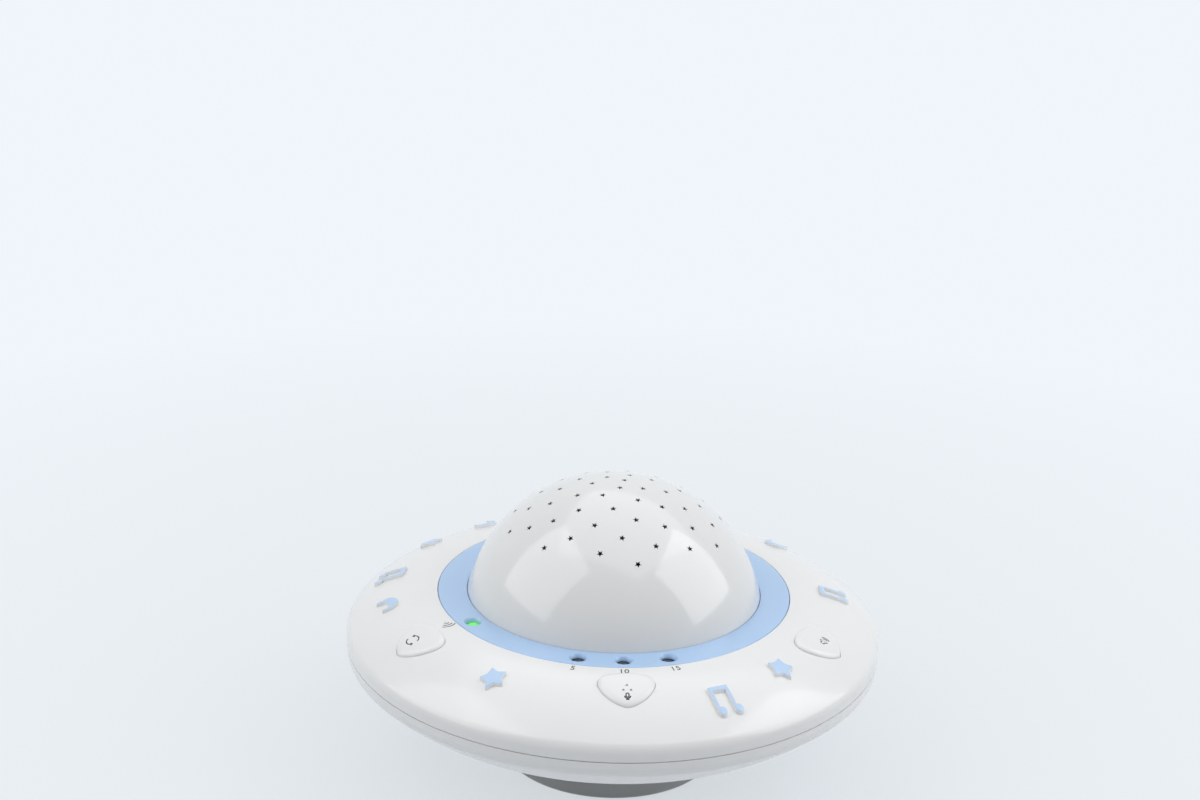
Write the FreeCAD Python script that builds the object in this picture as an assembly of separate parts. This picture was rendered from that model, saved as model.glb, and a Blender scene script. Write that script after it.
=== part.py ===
"""Saucer-shaped night light that throws stars through a pierced dome.

Millimetres, +Z up. The origin is on the table, under the middle of the foot,
and the front of the object, with its microphone, faces -Y.
"""
import FreeCAD, Part
import math
import os

V = FreeCAD.Vector
ORIGIN = V(0, 0, 0)
UP = V(0, 0, 1)

# Driving dimensions of the saucer
body_radius = 105.0
wall = 2.2
crown_rise = 18.6
crown_rim_lift = 2.8
belly_level_radius = 37.2
belly_depth = 32.7
belly_rim_drop = 2.55
rim_radius = 5.0
parting_groove = 0.2
parting_groove_depth = 0.7
tongue_height = 2.4
tongue_wall = 1.4
fit_gap = 0.2

# Driving dimensions of the dome and the ring round it
ring_outer_radius = 69.3
ring_thickness = 1.8
ring_skirt = 2.5
dome_base_radius = 57.75
dome_height = 45.5
dome_wall = 1.8
dome_flange = 2.65
dome_flange_thickness = 1.5
ledge_inner_radius = 54.0
star_count = 62
star_field_angle = 47.0
star_spread = 0.6
star_hole_radius = 1.4
star_waist = 0.45
ring_peg_radius = 1.5
ring_peg_azimuths = (45, 135, 225, 315)

# Controls on the shell: places as azimuths, in degrees from +X
mode_azimuth = 210
mic_azimuth = 270
volume_azimuth = 330
pad_inner_radius = 74.3
pad_wide_radius = 80.8
pad_outer_radius = 91.4
pad_width = 20.8
pad_shoulder_width = 13.6
pad_proud = 1.3
pad_edge = 0.7
pad_gap = 0.3
pad_flange = 1.5
pad_flange_thickness = 1.0
pad_under_gap = 0.15
key_shift = 4.0
button_travel = 0.8
button_radius = 84.5
stem_radius = 2.2
stem_gap = 0.1
mic_hole_radius = 0.5
mic_hole_spread = 1.55
mic_hole_circle = 84.0

# Indicator lamps in the ring
led_circle_radius = 63.5
led_radius = 2.5
led_gap = 0.15
led_body_height = 4.1
led_dome_height = 0.8
led_depth = 1.4
well_mouth_radius = 3.4
lead_width = 0.5
lead_spread = 1.27
led_azimuths = {"vox_led": 210, "timer_led_5": 255, "timer_led_10": 270, "timer_led_15": 285}

# Raised badges: azimuth and radius of each
badge_proud = 1.3
badge_seat_gap = 0.03
badge_peg_radius = 1.2
peg_gap = 0.05
star_badge_radius = 5.3
star_badge_waist = 0.56
star_badge_round = 0.45
note_width = 7.8
note_length = 11.5
note_stem = 1.3
note_beam = 2.0
note_head_radius = 1.6
moon_radius = 4.8
moon_bite_radius = 3.9
moon_bite_offset = 2.6
star_badges = ((237.3, 87.3), (311.3, 87.0), (145.0, 91.0), (62.0, 87.5))
note_badges = ((291.8, 92.3), (0.0, 88.0), (168.0, 91.0), (92.0, 88.0))
moon_badges = ((187.0, 90.0), (35.0, 88.0), (127.0, 86.0))

# Fasteners
case_screw_count = 6
case_screw_radius = 82.0
case_boss_radius = 3.5
case_seat_depth = 10.0
case_screw_length = 17.0
counterbore_radius = 3.4
screw_radius = 1.5
screw_head_radius = 2.8
screw_head_height = 2.0
screw_hole_radius = 1.7
small_screw_radius = 1.1
small_head_radius = 2.1
small_head_height = 1.5
small_hole_radius = 1.25
small_pilot_depth = 5.5
boss_wall = 1.7
thread_gap = 0.05

# Electronics
board_height = 6.0
board_thickness = 1.6
board_inner_radius = 50.0
board_outer_radius = 92.0
board_start = 188
board_end = 352
board_screw_circle = 66.0
board_screw_azimuths = (195, 240, 300, 345)
board_screw_length = 5.0
tact_side = 6.0
tact_height = 3.1
plunger_radius = 1.7
plunger_rise = 1.1
plunger_root = 1.0
running_gap = 0.05
mic_capsule_radius = 4.85
mic_capsule_height = 4.5
mic_capsule_circle = 80.5

# Lamp in the middle of the dome
post_radius = 8.0
post_wall = 2.0
post_flange_radius = 14.5
post_flange_thickness = 2.5
post_boss_height = 6.0
post_screw_circle = 11.2
post_screw_count = 3
post_screw_length = 7.0
lamp_board_radius = 14.0
lamp_led_side = 5.0
lamp_led_radius = 2.1
lamp_led_base = 0.9

# Loudspeaker in the rear of the lower shell
speaker_place = 66.0
speaker_radius = 20.0
speaker_seat_wall = 3.0
speaker_lip = 0.5
speaker_depth = 13.0
speaker_flange_thickness = 1.0
speaker_basket_height = 7.0
speaker_magnet_radius = 9.5
speaker_magnet_height = 5.0
speaker_sheet = 0.8
speaker_roll = 2.5
cone_gap = 0.7
speaker_screw_spread = 22.6
cone_thickness = 0.5
grille_hole_radius = 1.25
grille_pitch = 4.4
grille_rings = 3

# Foot, batteries and door
foot_margin = 4.1
foot_flare = 2.2
foot_wall = 2.2
foot_floor = 2.0
foot_edge = 1.2
pad_lift = 0.8
foot_pad_radius = 4.5
foot_pad_recess = 0.8
foot_pad_inset = 0.8
foot_pad_margin = 1.9
foot_screw_length = 8.0
cell_radius = 7.25
cell_length = 50.5
cell_count = 3
cell_gap = 0.5
cell_nub_radius = 2.6
cell_nub_height = 1.4
well_length = 60.0
well_wall = 1.5
well_headroom = 0.4
well_roof_wall = 1.0
well_roof_gap = 0.1
contact_thickness = 0.5
spring_wire = 0.4
spring_radius = 3.3
spring_turns = 3.5
spring_corners = 8
spring_bend = 2.8
door_thickness = 1.1
door_margin = 1.8
door_gap = 0.2
door_tab_radius = 4.6
door_tab_offset = 6.0
door_screw_length = 6.0
door_head_height = 0.9
door_head_recess = 0.5
hook_width = 6.0
hook_reach = 1.2
hook_root = 2.5
hook_spacing = 26.0
hook_thickness = 1.0

# Power switch in a pocket of the lower shell
switch_place = 66.0
pocket_length = 18.0
pocket_width = 11.0
pocket_wall = 1.6
pocket_lip = 0.3
slot_width = 3.4
knob_length = 5.0
knob_width = 3.0
knob_drop = 2.2
knob_travel = 4.0
knob_groove_pitch = 1.4
switch_body_length = 13.0
switch_body_width = 6.5
switch_body_height = 5.0
carriage_height = 1.2
carriage_margin = 1.0

# Wires
wire_radius = 0.6
wire_bend = 4.0
wire_spread = 1.6

# Heights that follow, from the table up
well_floor = pad_lift + foot_floor
well_roof = well_floor + 2 * cell_radius + well_headroom
belly_bottom = well_roof + well_roof_wall + well_roof_gap
parting_height = belly_bottom + belly_depth
speaker_seat_height = parting_height - speaker_depth
ring_top = parting_height + crown_rise
ring_bottom = ring_top - ring_thickness
ledge_top = ring_bottom - dome_flange_thickness - 0.1
ledge_bottom = ledge_top - wall
ledge_outer_radius = ring_outer_radius + fit_gap
dome_top = ring_top + dome_height
dome_radius = (dome_base_radius ** 2 + dome_height ** 2) / (2 * dome_height)
dome_centre = dome_top - dome_radius
floor_top = belly_bottom + wall
board_bottom = parting_height + board_height
board_top = board_bottom + board_thickness
well_width = cell_count * 2 * cell_radius + (cell_count + 1) * cell_gap
door_length = well_length + 2 * door_margin
door_width = well_width + 2 * door_margin
cell_height = well_floor + cell_radius + well_headroom / 2
cell_pitch = 2 * cell_radius + cell_gap
tab_centre = well_width / 2 + door_tab_offset

# Sizes of the foot that follow from the door, so that both the door and the pads fit in it
foot_bottom_radius = math.hypot(door_width / 2, door_length / 2) + foot_margin
foot_top_radius = foot_bottom_radius + foot_flare
foot_pad_circle = foot_bottom_radius - foot_edge - foot_pad_radius - foot_pad_inset
foot_pad_x = door_width / 2 + foot_pad_radius + foot_pad_margin
foot_pad_y = math.sqrt(foot_pad_circle ** 2 - foot_pad_x ** 2)


def rz(radius, height):
    """A point of a turned section."""
    return V(radius, 0, height)


def line(a, b):
    return Part.LineSegment(a, b).toShape()


def arc(a, through, b):
    return Part.Arc(a, through, b).toShape()


def chain(points):
    """Straight edges through a list of points, left open."""
    return [line(a, b) for a, b in zip(points[:-1], points[1:])]


def loop(points):
    """A closed face with straight sides."""
    return Part.Face(Part.Wire(chain(list(points) + [points[0]])))


def turned(edges):
    """A full turn of a closed section about the Z axis."""
    face = Part.Face(Part.Wire(edges))
    return face.revolve(ORIGIN, UP, 360)


def turned_points(points):
    return turned(chain(list(points) + [points[0]]))


def cylinder(radius, bottom, top, x=0.0, y=0.0):
    return Part.makeCylinder(radius, top - bottom, V(x, y, bottom), UP)


def tube(outer, inner, bottom, top, x=0.0, y=0.0):
    hole = cylinder(inner, bottom - 1, top + 1, x, y)
    return cylinder(outer, bottom, top, x, y).cut(hole)


def block(x0, x1, y0, y1, z0, z1):
    return Part.makeBox(x1 - x0, y1 - y0, z1 - z0, V(x0, y0, z0))


def spun(shape, azimuth):
    """A copy turned about the Z axis."""
    copy = shape.copy()
    copy.rotate(ORIGIN, UP, azimuth)
    return copy


def moved(shape, x, y, z):
    copy = shape.copy()
    copy.translate(V(x, y, z))
    return copy


def polar(radius, azimuth):
    angle = math.radians(azimuth)
    return radius * math.cos(angle), radius * math.sin(angle)


def prism(face, bottom, top):
    """A flat outline drawn at height 0, raised between two heights."""
    return moved(face, 0, 0, bottom).extrude(V(0, 0, top - bottom))


def joined(first, others):
    return first.fuse(list(others)).removeSplitter()


class Bow:
    """One of the two long arcs of the saucer's section, with its rounded rim.

    side is +1 for the crown above the parting line and -1 for the belly. The arc is level at
    one radius, and its size follows from the fall between there and the middle of the rim.
    """

    def __init__(self, level_radius, level_height, rim_z, side):
        self.side = side
        self.rim_r = body_radius - rim_radius
        self.rim_z = rim_z
        run = self.rim_r - level_radius
        fall = side * (level_height - rim_z)
        self.radius = (run ** 2 + fall ** 2 - rim_radius ** 2) / (2 * (fall - rim_radius))
        self.cr = level_radius
        self.cz = level_height - side * self.radius
        self.blend = math.atan2(self.rim_z - self.cz, self.rim_r - self.cr)

    def at(self, r, offset=0.0):
        """The point of the offset arc at a radius from the axis."""
        depth = math.sqrt((self.radius + offset) ** 2 - (r - self.cr) ** 2)
        return rz(r, self.cz + self.side * depth)

    def blend_point(self, offset=0.0):
        reach = self.radius + offset
        return rz(self.cr + reach * math.cos(self.blend), self.cz + reach * math.sin(self.blend))

    def bow(self, r0, r1, offset=0.0):
        return arc(self.at(r0, offset), self.at((r0 + r1) / 2, offset), self.at(r1, offset))

    def rim(self, offset=0.0):
        """The rounded rim, from the vertical side to the long arc."""
        reach = rim_radius + offset
        half = self.blend / 2
        side = rz(self.rim_r + reach, self.rim_z)
        middle = rz(self.rim_r + reach * math.cos(half), self.rim_z + reach * math.sin(half))
        return arc(side, middle, self.blend_point(offset))


crown = Bow(ring_outer_radius, ring_top, parting_height + crown_rim_lift, 1)
belly = Bow(belly_level_radius, belly_bottom, parting_height - belly_rim_drop, -1)


def crown_slab(low, high, inner=ring_outer_radius + 1.0, outer=body_radius - 6.0):
    """The layer between two offsets of the crown, for what lies on it or under it."""
    edges = [
        crown.bow(inner, outer, high),
        line(crown.at(outer, high), crown.at(outer, low)),
        crown.bow(outer, inner, low),
        line(crown.at(inner, low), crown.at(inner, high)),
    ]
    return turned(edges)


def bulged(a, b, sag):
    """An arc from a to b that stands out by sag on the right-hand side."""
    along = b - a
    out = V(along.y, -along.x, 0).normalize()
    return arc(a, (a + b) * 0.5 + out * sag, b)


def pad_outline(shift):
    """The shield shape of the three control pads, drawn with its axis on +X.

    The two keys stand further out on the crown than the microphone pad, by shift.
    """
    half = pad_width / 2
    shoulder = pad_shoulder_width / 2
    tip = V(pad_outer_radius + shift, 0, 0)
    left = V(pad_wide_radius + shift, half, 0)
    right = V(pad_wide_radius + shift, -half, 0)
    left_top = V(pad_inner_radius + shift + 0.9, shoulder, 0)
    right_top = V(pad_inner_radius + shift + 0.9, -shoulder, 0)
    edges = [
        bulged(right, tip, 2.0),
        bulged(tip, left, 2.0),
        bulged(left, left_top, 1.2),
        bulged(left_top, right_top, 0.9),
        bulged(right_top, right, 1.2),
    ]
    return Part.Wire(edges)


def pad_hole(shift):
    outline = Part.Face(pad_outline(shift).makeOffset2D(pad_gap))
    return prism(outline, board_top, ring_top + 5)


def pad_cap(shift):
    """The part of a pad that stands in its hole, with a softened edge."""
    column = prism(Part.Face(pad_outline(shift)), board_top, ring_top + 5)
    cap = column.common(crown_slab(-wall, pad_proud))
    top = max(cap.Faces, key=lambda face: face.CenterOfMass.z)
    return cap.makeFillet(pad_edge, top.Edges)


def pad_rim(shift):
    """The flange that keeps a pad from falling out of its hole."""
    outline = Part.Face(pad_outline(shift).makeOffset2D(pad_flange))
    low = -wall - pad_under_gap - pad_flange_thickness
    layer = crown_slab(low, -wall - pad_under_gap)
    neck = prism(Part.Face(pad_outline(shift)), parting_height, ring_top)
    neck = neck.common(crown_slab(low, -wall / 2))
    return prism(outline, parting_height, ring_top).common(layer).fuse(neck)


def plunger_top():
    return board_top + tact_height + plunger_rise


def make_button(azimuth):
    stem_top = crown.at(button_radius, -wall - pad_under_gap - pad_flange_thickness / 2).z
    stem = cylinder(stem_radius, plunger_top() + stem_gap, stem_top, button_radius)
    return spun(joined(pad_cap(key_shift), [pad_rim(key_shift), stem]), azimuth)


def mic_holes():
    """Three small sound holes in a triangle."""
    holes = []
    for turn in (0, 120, 240):
        x, y = polar(mic_hole_spread, turn + 180)
        holes.append(cylinder(mic_hole_radius, board_top, ring_top + 5, mic_hole_circle + x, y))
    return holes


def make_mic_cover():
    return spun(joined(pad_cap(0), [pad_rim(0)]).cut(mic_holes()), mic_azimuth)


def make_tact_switch(azimuth):
    half = tact_side / 2
    body = block(-half, half, -half, half, board_top, board_top + tact_height)
    bore_bottom = board_top + tact_height - plunger_root - button_travel - stem_gap
    bore = cylinder(plunger_radius + running_gap, bore_bottom, plunger_top())
    return spun(moved(body.cut(bore), button_radius, 0, 0), azimuth)


def make_plunger(azimuth):
    bottom = board_top + tact_height - plunger_root
    return spun(cylinder(plunger_radius, bottom, plunger_top(), button_radius), azimuth)


def star_points(radius, waist):
    """The ten corners of a five-pointed star, its first point on +X."""
    points = []
    for i in range(10):
        x, y = polar(radius if i % 2 == 0 else radius * waist, 36 * i)
        points.append(V(x, y, 0))
    return points


def star_badge_column():
    star = prism(loop(star_points(star_badge_radius, star_badge_waist)), 0, ring_top)
    upright = [e for e in star.Edges if abs(e.BoundBox.ZLength - ring_top) < 0.01]
    return star.makeFillet(star_badge_round, upright)


def note_badge_column():
    """Two beamed notes: the beam lies towards the dome and the heads outwards."""
    half = note_width / 2
    back = -note_length / 2
    front = note_length / 2 - note_head_radius
    beam = block(back, back + note_beam, -half, half, 0, ring_top)
    pieces = []
    for y in (-half, half - note_stem):
        pieces.append(block(back, front, y, y + note_stem, 0, ring_top))
        pieces.append(cylinder(note_head_radius, 0, ring_top, front, y + note_head_radius))
    return joined(beam, pieces)


def moon_badge_column():
    """A crescent whose horns point outwards."""
    disc = cylinder(moon_radius, 0, ring_top)
    return disc.cut(cylinder(moon_bite_radius, -1, ring_top + 1, moon_bite_offset, 0.6))


def badge_peg_offset(kind):
    """Where a badge has its peg, from its middle along the radius."""
    if kind == "note":
        return (note_beam - note_length) / 2
    if kind == "moon":
        return (moon_bite_offset - moon_bite_radius - moon_radius) / 2
    return 0.0


def badge_places():
    """Each badge's node name, kind, azimuth and radius."""
    groups = {"star": star_badges, "note": note_badges, "moon": moon_badges}
    for kind, places in groups.items():
        for number, (azimuth, radius) in enumerate(places, start=1):
            yield f"{kind}_badge_{number}", kind, azimuth, radius


def make_badges():
    columns = {"star": star_badge_column(), "note": note_badge_column(), "moon": moon_badge_column()}
    layer = crown_slab(badge_seat_gap, badge_proud)
    nodes = {}
    for name, kind, azimuth, radius in badge_places():
        flat = moved(columns[kind], radius, 0, 0).common(layer)
        at = radius + badge_peg_offset(kind)
        peg = cylinder(badge_peg_radius, crown.at(at, -wall).z, crown.at(at, badge_proud / 2).z, at)
        nodes[name] = spun(joined(flat, [peg]), azimuth)
    return nodes


def badge_holes():
    holes = []
    for _, kind, azimuth, radius in badge_places():
        x, y = polar(radius + badge_peg_offset(kind), azimuth)
        holes.append(cylinder(badge_peg_radius + peg_gap, parting_height, ring_top + 1, x, y))
    return holes


def case_screw_places():
    return [polar(case_screw_radius, 60 * i) for i in range(case_screw_count)]


def upper_section():
    """The upper shell: recess for the ring, crown, rounded rim and groove at the parting."""
    inner_rim = body_radius - wall
    groove = body_radius - parting_groove_depth
    step = ledge_outer_radius + wall
    low_blend = crown.blend_point(-wall)
    edges = chain([rz(ledge_inner_radius, ledge_bottom), rz(ledge_inner_radius, ledge_top),
                   rz(ledge_outer_radius, ledge_top), crown.at(ledge_outer_radius)])
    edges.append(crown.bow(ledge_outer_radius, crown.blend_point().x))
    edges.append(crown.rim())
    edges += chain([rz(body_radius, crown.rim_z), rz(body_radius, parting_height + parting_groove),
                    rz(groove, parting_height + parting_groove), rz(groove, parting_height),
                    rz(inner_rim, parting_height), rz(inner_rim, crown.rim_z)])
    edges.append(crown.rim(-wall))
    edges.append(crown.bow(low_blend.x, step, -wall))
    edges += chain([crown.at(step, -wall), rz(step, ledge_bottom), rz(ledge_inner_radius, ledge_bottom)])
    return turned(edges)


def upper_bosses():
    """Bosses for the case screws, and for the board's screws under the ledge."""
    solids = []
    for x, y in case_screw_places():
        top = crown.at(case_screw_radius, -wall / 2).z
        solids.append(cylinder(case_boss_radius, parting_height, top, x, y))
    for azimuth in board_screw_azimuths:
        x, y = polar(board_screw_circle, azimuth)
        solids.append(cylinder(small_screw_radius + boss_wall, board_top, ledge_top - wall / 2, x, y))
    return solids


def upper_holes():
    holes = []
    for x, y in case_screw_places():
        top = parting_height + case_screw_length - case_seat_depth + 1
        holes.append(cylinder(screw_radius + thread_gap, parting_height - 1, top, x, y))
    for azimuth in board_screw_azimuths:
        x, y = polar(board_screw_circle, azimuth)
        top = board_bottom + board_screw_length + 0.5
        holes.append(cylinder(small_screw_radius + thread_gap, board_bottom, top, x, y))
    pad_shifts = {mode_azimuth: key_shift, mic_azimuth: 0, volume_azimuth: key_shift}
    for azimuth, shift in pad_shifts.items():
        holes.append(spun(pad_hole(shift), azimuth))
    for azimuth in led_azimuths.values():
        x, y = polar(led_circle_radius, azimuth)
        holes.append(cylinder(led_radius + led_gap, board_top, ring_top, x, y))
    for azimuth in ring_peg_azimuths:
        x, y = polar(led_circle_radius, azimuth)
        holes.append(cylinder(ring_peg_radius + peg_gap, board_top, ring_top, x, y))
    return holes + badge_holes()


def make_upper_shell():
    shell = joined(upper_section(), upper_bosses())
    return shell.cut(upper_holes())


def lower_section():
    """The lower shell: a closed bowl whose tongue fits inside the upper shell."""
    groove = body_radius - parting_groove_depth
    tongue_outer = body_radius - wall - fit_gap
    tongue_inner = tongue_outer - tongue_wall
    edges = [line(rz(0, belly_bottom), rz(belly_level_radius, belly_bottom))]
    edges.append(belly.bow(belly_level_radius, belly.blend_point().x))
    edges.append(belly.rim())
    edges += chain([rz(body_radius, belly.rim_z), rz(body_radius, parting_height - parting_groove),
                    rz(groove, parting_height - parting_groove), rz(groove, parting_height),
                    rz(tongue_outer, parting_height), rz(tongue_outer, parting_height + tongue_height),
                    rz(tongue_inner, parting_height + tongue_height), belly.at(tongue_inner, -wall)])
    edges.append(belly.bow(tongue_inner, belly_level_radius, -wall))
    edges += chain([rz(belly_level_radius, floor_top), rz(0, floor_top), rz(0, belly_bottom)])
    return turned(edges)


def belly_fill():
    """Everything inside the lower shell's outer skin, up to the parting line."""
    edges = [line(rz(0, belly_bottom), rz(belly_level_radius, belly_bottom))]
    edges.append(belly.bow(belly_level_radius, belly.blend_point().x))
    edges.append(line(belly.blend_point(), rz(belly.blend_point().x, parting_height)))
    edges += chain([rz(belly.blend_point().x, parting_height), rz(0, parting_height),
                    rz(0, belly_bottom)])
    return turned(edges)


def switch_block(half_x, y0, y1, bottom, top):
    """A box centred on the power switch's place along X."""
    return block(switch_place - half_x, switch_place + half_x, y0, y1, bottom, top)


def pocket_roof():
    """The switch pocket is just deep enough to have a lip on its shallow side."""
    return belly.at(switch_place + pocket_width / 2).z + pocket_lip


def speaker_screw_places():
    places = []
    for turn in (30, 150, 270):
        x, y = polar(speaker_screw_spread, turn)
        places.append((x, speaker_place + y))
    return places


def lower_bosses():
    """Case-screw towers, the loudspeaker's seat, the lamp post's bosses and the switch pocket."""
    solids = []
    for x, y in case_screw_places():
        solids.append(cylinder(counterbore_radius + boss_wall, belly_bottom, parting_height, x, y))
    seat_inner = speaker_radius - speaker_seat_wall
    seat_outer = speaker_radius + speaker_lip
    solids.append(tube(seat_outer, seat_inner, belly_bottom, speaker_seat_height, 0, speaker_place))
    for x, y in speaker_screw_places():
        solids.append(cylinder(small_screw_radius + boss_wall, belly_bottom, speaker_seat_height, x, y))
    for x, y in post_screw_places():
        top = floor_top + post_boss_height
        solids.append(cylinder(small_screw_radius + boss_wall, belly_bottom + wall / 2, top, x, y))
    half_x = pocket_width / 2 + pocket_wall
    half_y = pocket_length / 2 + pocket_wall
    roof = pocket_roof() + pocket_wall
    solids.append(switch_block(half_x, -half_y, half_y, belly_bottom, roof))
    return [solid.common(belly_fill()) for solid in solids]


def grille_places():
    """Hexagonal rings of sound holes under the loudspeaker."""
    places = [(0.0, speaker_place)]
    for ring in range(1, grille_rings + 1):
        for k in range(6 * ring):
            x, y = polar(ring * grille_pitch, 360 * k / (6 * ring))
            places.append((x, speaker_place + y))
    return places


def post_screw_places():
    return [polar(post_screw_circle, 90 + 360 * i / post_screw_count) for i in range(post_screw_count)]


def foot_screw_places():
    """One foot screw stands over each of the four rubber pads."""
    return [(x * foot_pad_x, y * foot_pad_y) for x in (1, -1) for y in (1, -1)]


def wire_hole_places():
    """Where the battery wires come up out of the foot, red then black."""
    y = -well_length / 2 + contact_thickness + 2.0
    return [(-cell_pitch, y), (cell_pitch, y)]


def lower_holes():
    holes = []
    seat = parting_height - case_seat_depth
    for x, y in case_screw_places():
        holes.append(cylinder(screw_hole_radius, seat - 1, parting_height + 1, x, y))
        holes.append(cylinder(counterbore_radius, 0, seat, x, y))
    for x, y in grille_places():
        holes.append(cylinder(grille_hole_radius, 0, speaker_seat_height, x, y))
    pilot = small_screw_radius + thread_gap
    for x, y in speaker_screw_places():
        bottom = speaker_seat_height - small_pilot_depth
        holes.append(cylinder(pilot, bottom, speaker_seat_height + 1, x, y))
    for x, y in post_screw_places():
        top = floor_top + post_boss_height
        holes.append(cylinder(pilot, top - small_pilot_depth, top + 1, x, y))
    for x, y in foot_screw_places():
        holes.append(cylinder(screw_hole_radius, 0, parting_height, x, y))
        spot_top = floor_top + screw_head_height
        holes.append(cylinder(screw_head_radius + fit_gap, floor_top, spot_top, x, y))
    for x, y in wire_hole_places():
        holes.append(cylinder(wire_radius + fit_gap, 0, floor_top + 1, x, y))
    half_y = pocket_length / 2
    holes.append(switch_block(pocket_width / 2, -half_y, half_y, 0, pocket_roof()))
    slot_half = (knob_length + knob_travel) / 2 + fit_gap
    holes.append(switch_block(slot_width / 2, -slot_half, slot_half, 0, parting_height))
    return holes


def make_lower_shell():
    shell = joined(lower_section(), lower_bosses())
    return shell.cut(lower_holes())


def make_trim_ring():
    inner = dome_base_radius + fit_gap
    ring = turned_points([
        rz(inner, ring_bottom), rz(inner, ring_top), rz(ring_outer_radius, ring_top),
        rz(ring_outer_radius, ledge_top), rz(ring_outer_radius - ring_skirt, ledge_top),
        rz(ring_outer_radius - ring_skirt, ring_bottom),
    ])
    pegs = []
    for azimuth in ring_peg_azimuths:
        x, y = polar(led_circle_radius, azimuth)
        pegs.append(cylinder(ring_peg_radius, ledge_bottom - 0.8, ring_bottom + 0.2, x, y))
    wells = []
    narrow = led_radius + led_gap
    for azimuth in led_azimuths.values():
        x, y = polar(led_circle_radius, azimuth)
        mouth = V(x, y, ring_top - led_depth)
        wells.append(Part.makeCone(narrow, well_mouth_radius, led_depth, mouth, UP))
        wells.append(cylinder(narrow, ledge_top, ring_top, x, y))
    return joined(ring, pegs).cut(wells)


def star_directions():
    """Even scatter over the cap: the golden angle round, thinning out away from the top."""
    golden = 180 * (3 - math.sqrt(5))
    for i in range(star_count):
        share = (i + 0.5) / star_count
        yield star_field_angle * share ** star_spread, golden * i


def star_cutters():
    """One star-shaped punch for each hole, aimed at the middle of the dome's sphere."""
    flat = loop(star_points(star_hole_radius, star_waist))
    punch = moved(flat, 0, 0, dome_radius - 2 * dome_wall).extrude(V(0, 0, 3 * dome_wall))
    cutters = []
    for tilt, azimuth in star_directions():
        cutter = spun(punch, 7 * azimuth)
        cutter.rotate(ORIGIN, V(0, 1, 0), tilt)
        cutter.rotate(ORIGIN, UP, azimuth)
        cutters.append(moved(cutter, 0, 0, dome_centre))
    return cutters


def make_star_dome():
    inner = dome_radius - dome_wall
    collar = dome_base_radius - dome_wall
    flange_top = ledge_top + dome_flange_thickness
    flange_radius = dome_base_radius + dome_flange
    half = math.asin(dome_base_radius / dome_radius) / 2
    shoulder = math.sqrt(inner ** 2 - collar ** 2)
    inner_half = math.asin(collar / inner) / 2
    outer_mid = rz(dome_radius * math.sin(half), dome_centre + dome_radius * math.cos(half))
    inner_mid = rz(inner * math.sin(inner_half), dome_centre + inner * math.cos(inner_half))
    edges = [arc(rz(0, dome_top), outer_mid, rz(dome_base_radius, ring_top))]
    edges += chain([rz(dome_base_radius, ring_top), rz(dome_base_radius, flange_top),
                    rz(flange_radius, flange_top), rz(flange_radius, ledge_top),
                    rz(collar, ledge_top), rz(collar, dome_centre + shoulder)])
    edges.append(arc(rz(collar, dome_centre + shoulder), inner_mid, rz(0, dome_centre + inner)))
    edges.append(line(rz(0, dome_centre + inner), rz(0, dome_top)))
    return turned(edges).cut(star_cutters())


def make_indicator(azimuth):
    """An indicator lamp whose rounded top looks out of its well in the ring."""
    top = ring_top - led_depth
    shoulder = top - led_dome_height
    ball = (led_radius ** 2 + led_dome_height ** 2) / (2 * led_dome_height)
    body = cylinder(led_radius, shoulder - led_body_height, top)
    dome = Part.makeSphere(ball, V(0, 0, top - ball))
    lamp = body.common(dome.fuse(cylinder(led_radius + 1, shoulder - led_body_height - 1, shoulder)))
    return spun(moved(lamp, led_circle_radius, 0, 0), azimuth)


def make_leads():
    """Two thin legs under each indicator lamp, down to the board."""
    top = ring_top - led_depth - led_dome_height - led_body_height
    half = lead_width / 2
    leg = block(led_circle_radius - half, led_circle_radius + half, -half, half, board_top, top)
    legs = []
    for azimuth in led_azimuths.values():
        for y in (-lead_spread, lead_spread):
            legs.append(spun(moved(leg, 0, y, 0), azimuth))
    return Part.makeCompound(legs)


def pan_screw(length, radius=screw_radius, head_radius=screw_head_radius, head_height=screw_head_height):
    """A cross-slot screw that points up, with the underside of its head at height 0."""
    head = cylinder(head_radius, -head_height, 0)
    screw = head.fuse(cylinder(radius, 0, length))
    slot = head_radius * 0.25
    reach = head_radius * 0.65
    depth = head_height * 0.5 - head_height
    cross = [block(-reach, reach, -slot, slot, -head_height - 1, depth)]
    cross.append(block(-slot, slot, -reach, reach, -head_height - 1, depth))
    return screw.removeSplitter().cut(cross)


def small_screw(length):
    return pan_screw(length, small_screw_radius, small_head_radius, small_head_height)


def hanging(screw):
    """The same screw, pointing down."""
    copy = screw.copy()
    copy.rotate(ORIGIN, V(1, 0, 0), 180)
    return copy


def screw_group(screw, places, height):
    return Part.makeCompound([moved(screw, x, y, height) for x, y in places])


def make_board():
    """A curved circuit board under the front half of the crown."""
    ring = tube(board_outer_radius, board_inner_radius, board_bottom, board_top)
    reach = 2 * board_outer_radius
    corners = [V(0, 0, 0)]
    for azimuth in (board_start, (board_start + board_end) / 2, board_end):
        x, y = polar(reach, azimuth)
        corners.append(V(x, y, 0))
    board = ring.common(prism(loop(corners), board_bottom - 1, board_top + 1))
    holes = []
    for x, y in case_screw_places():
        holes.append(cylinder(case_boss_radius + 1, board_bottom - 1, board_top + 1, x, y))
    for azimuth in board_screw_azimuths:
        x, y = polar(board_screw_circle, azimuth)
        holes.append(cylinder(small_hole_radius, board_bottom - 1, board_top + 1, x, y))
    return board.cut(holes)


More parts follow.
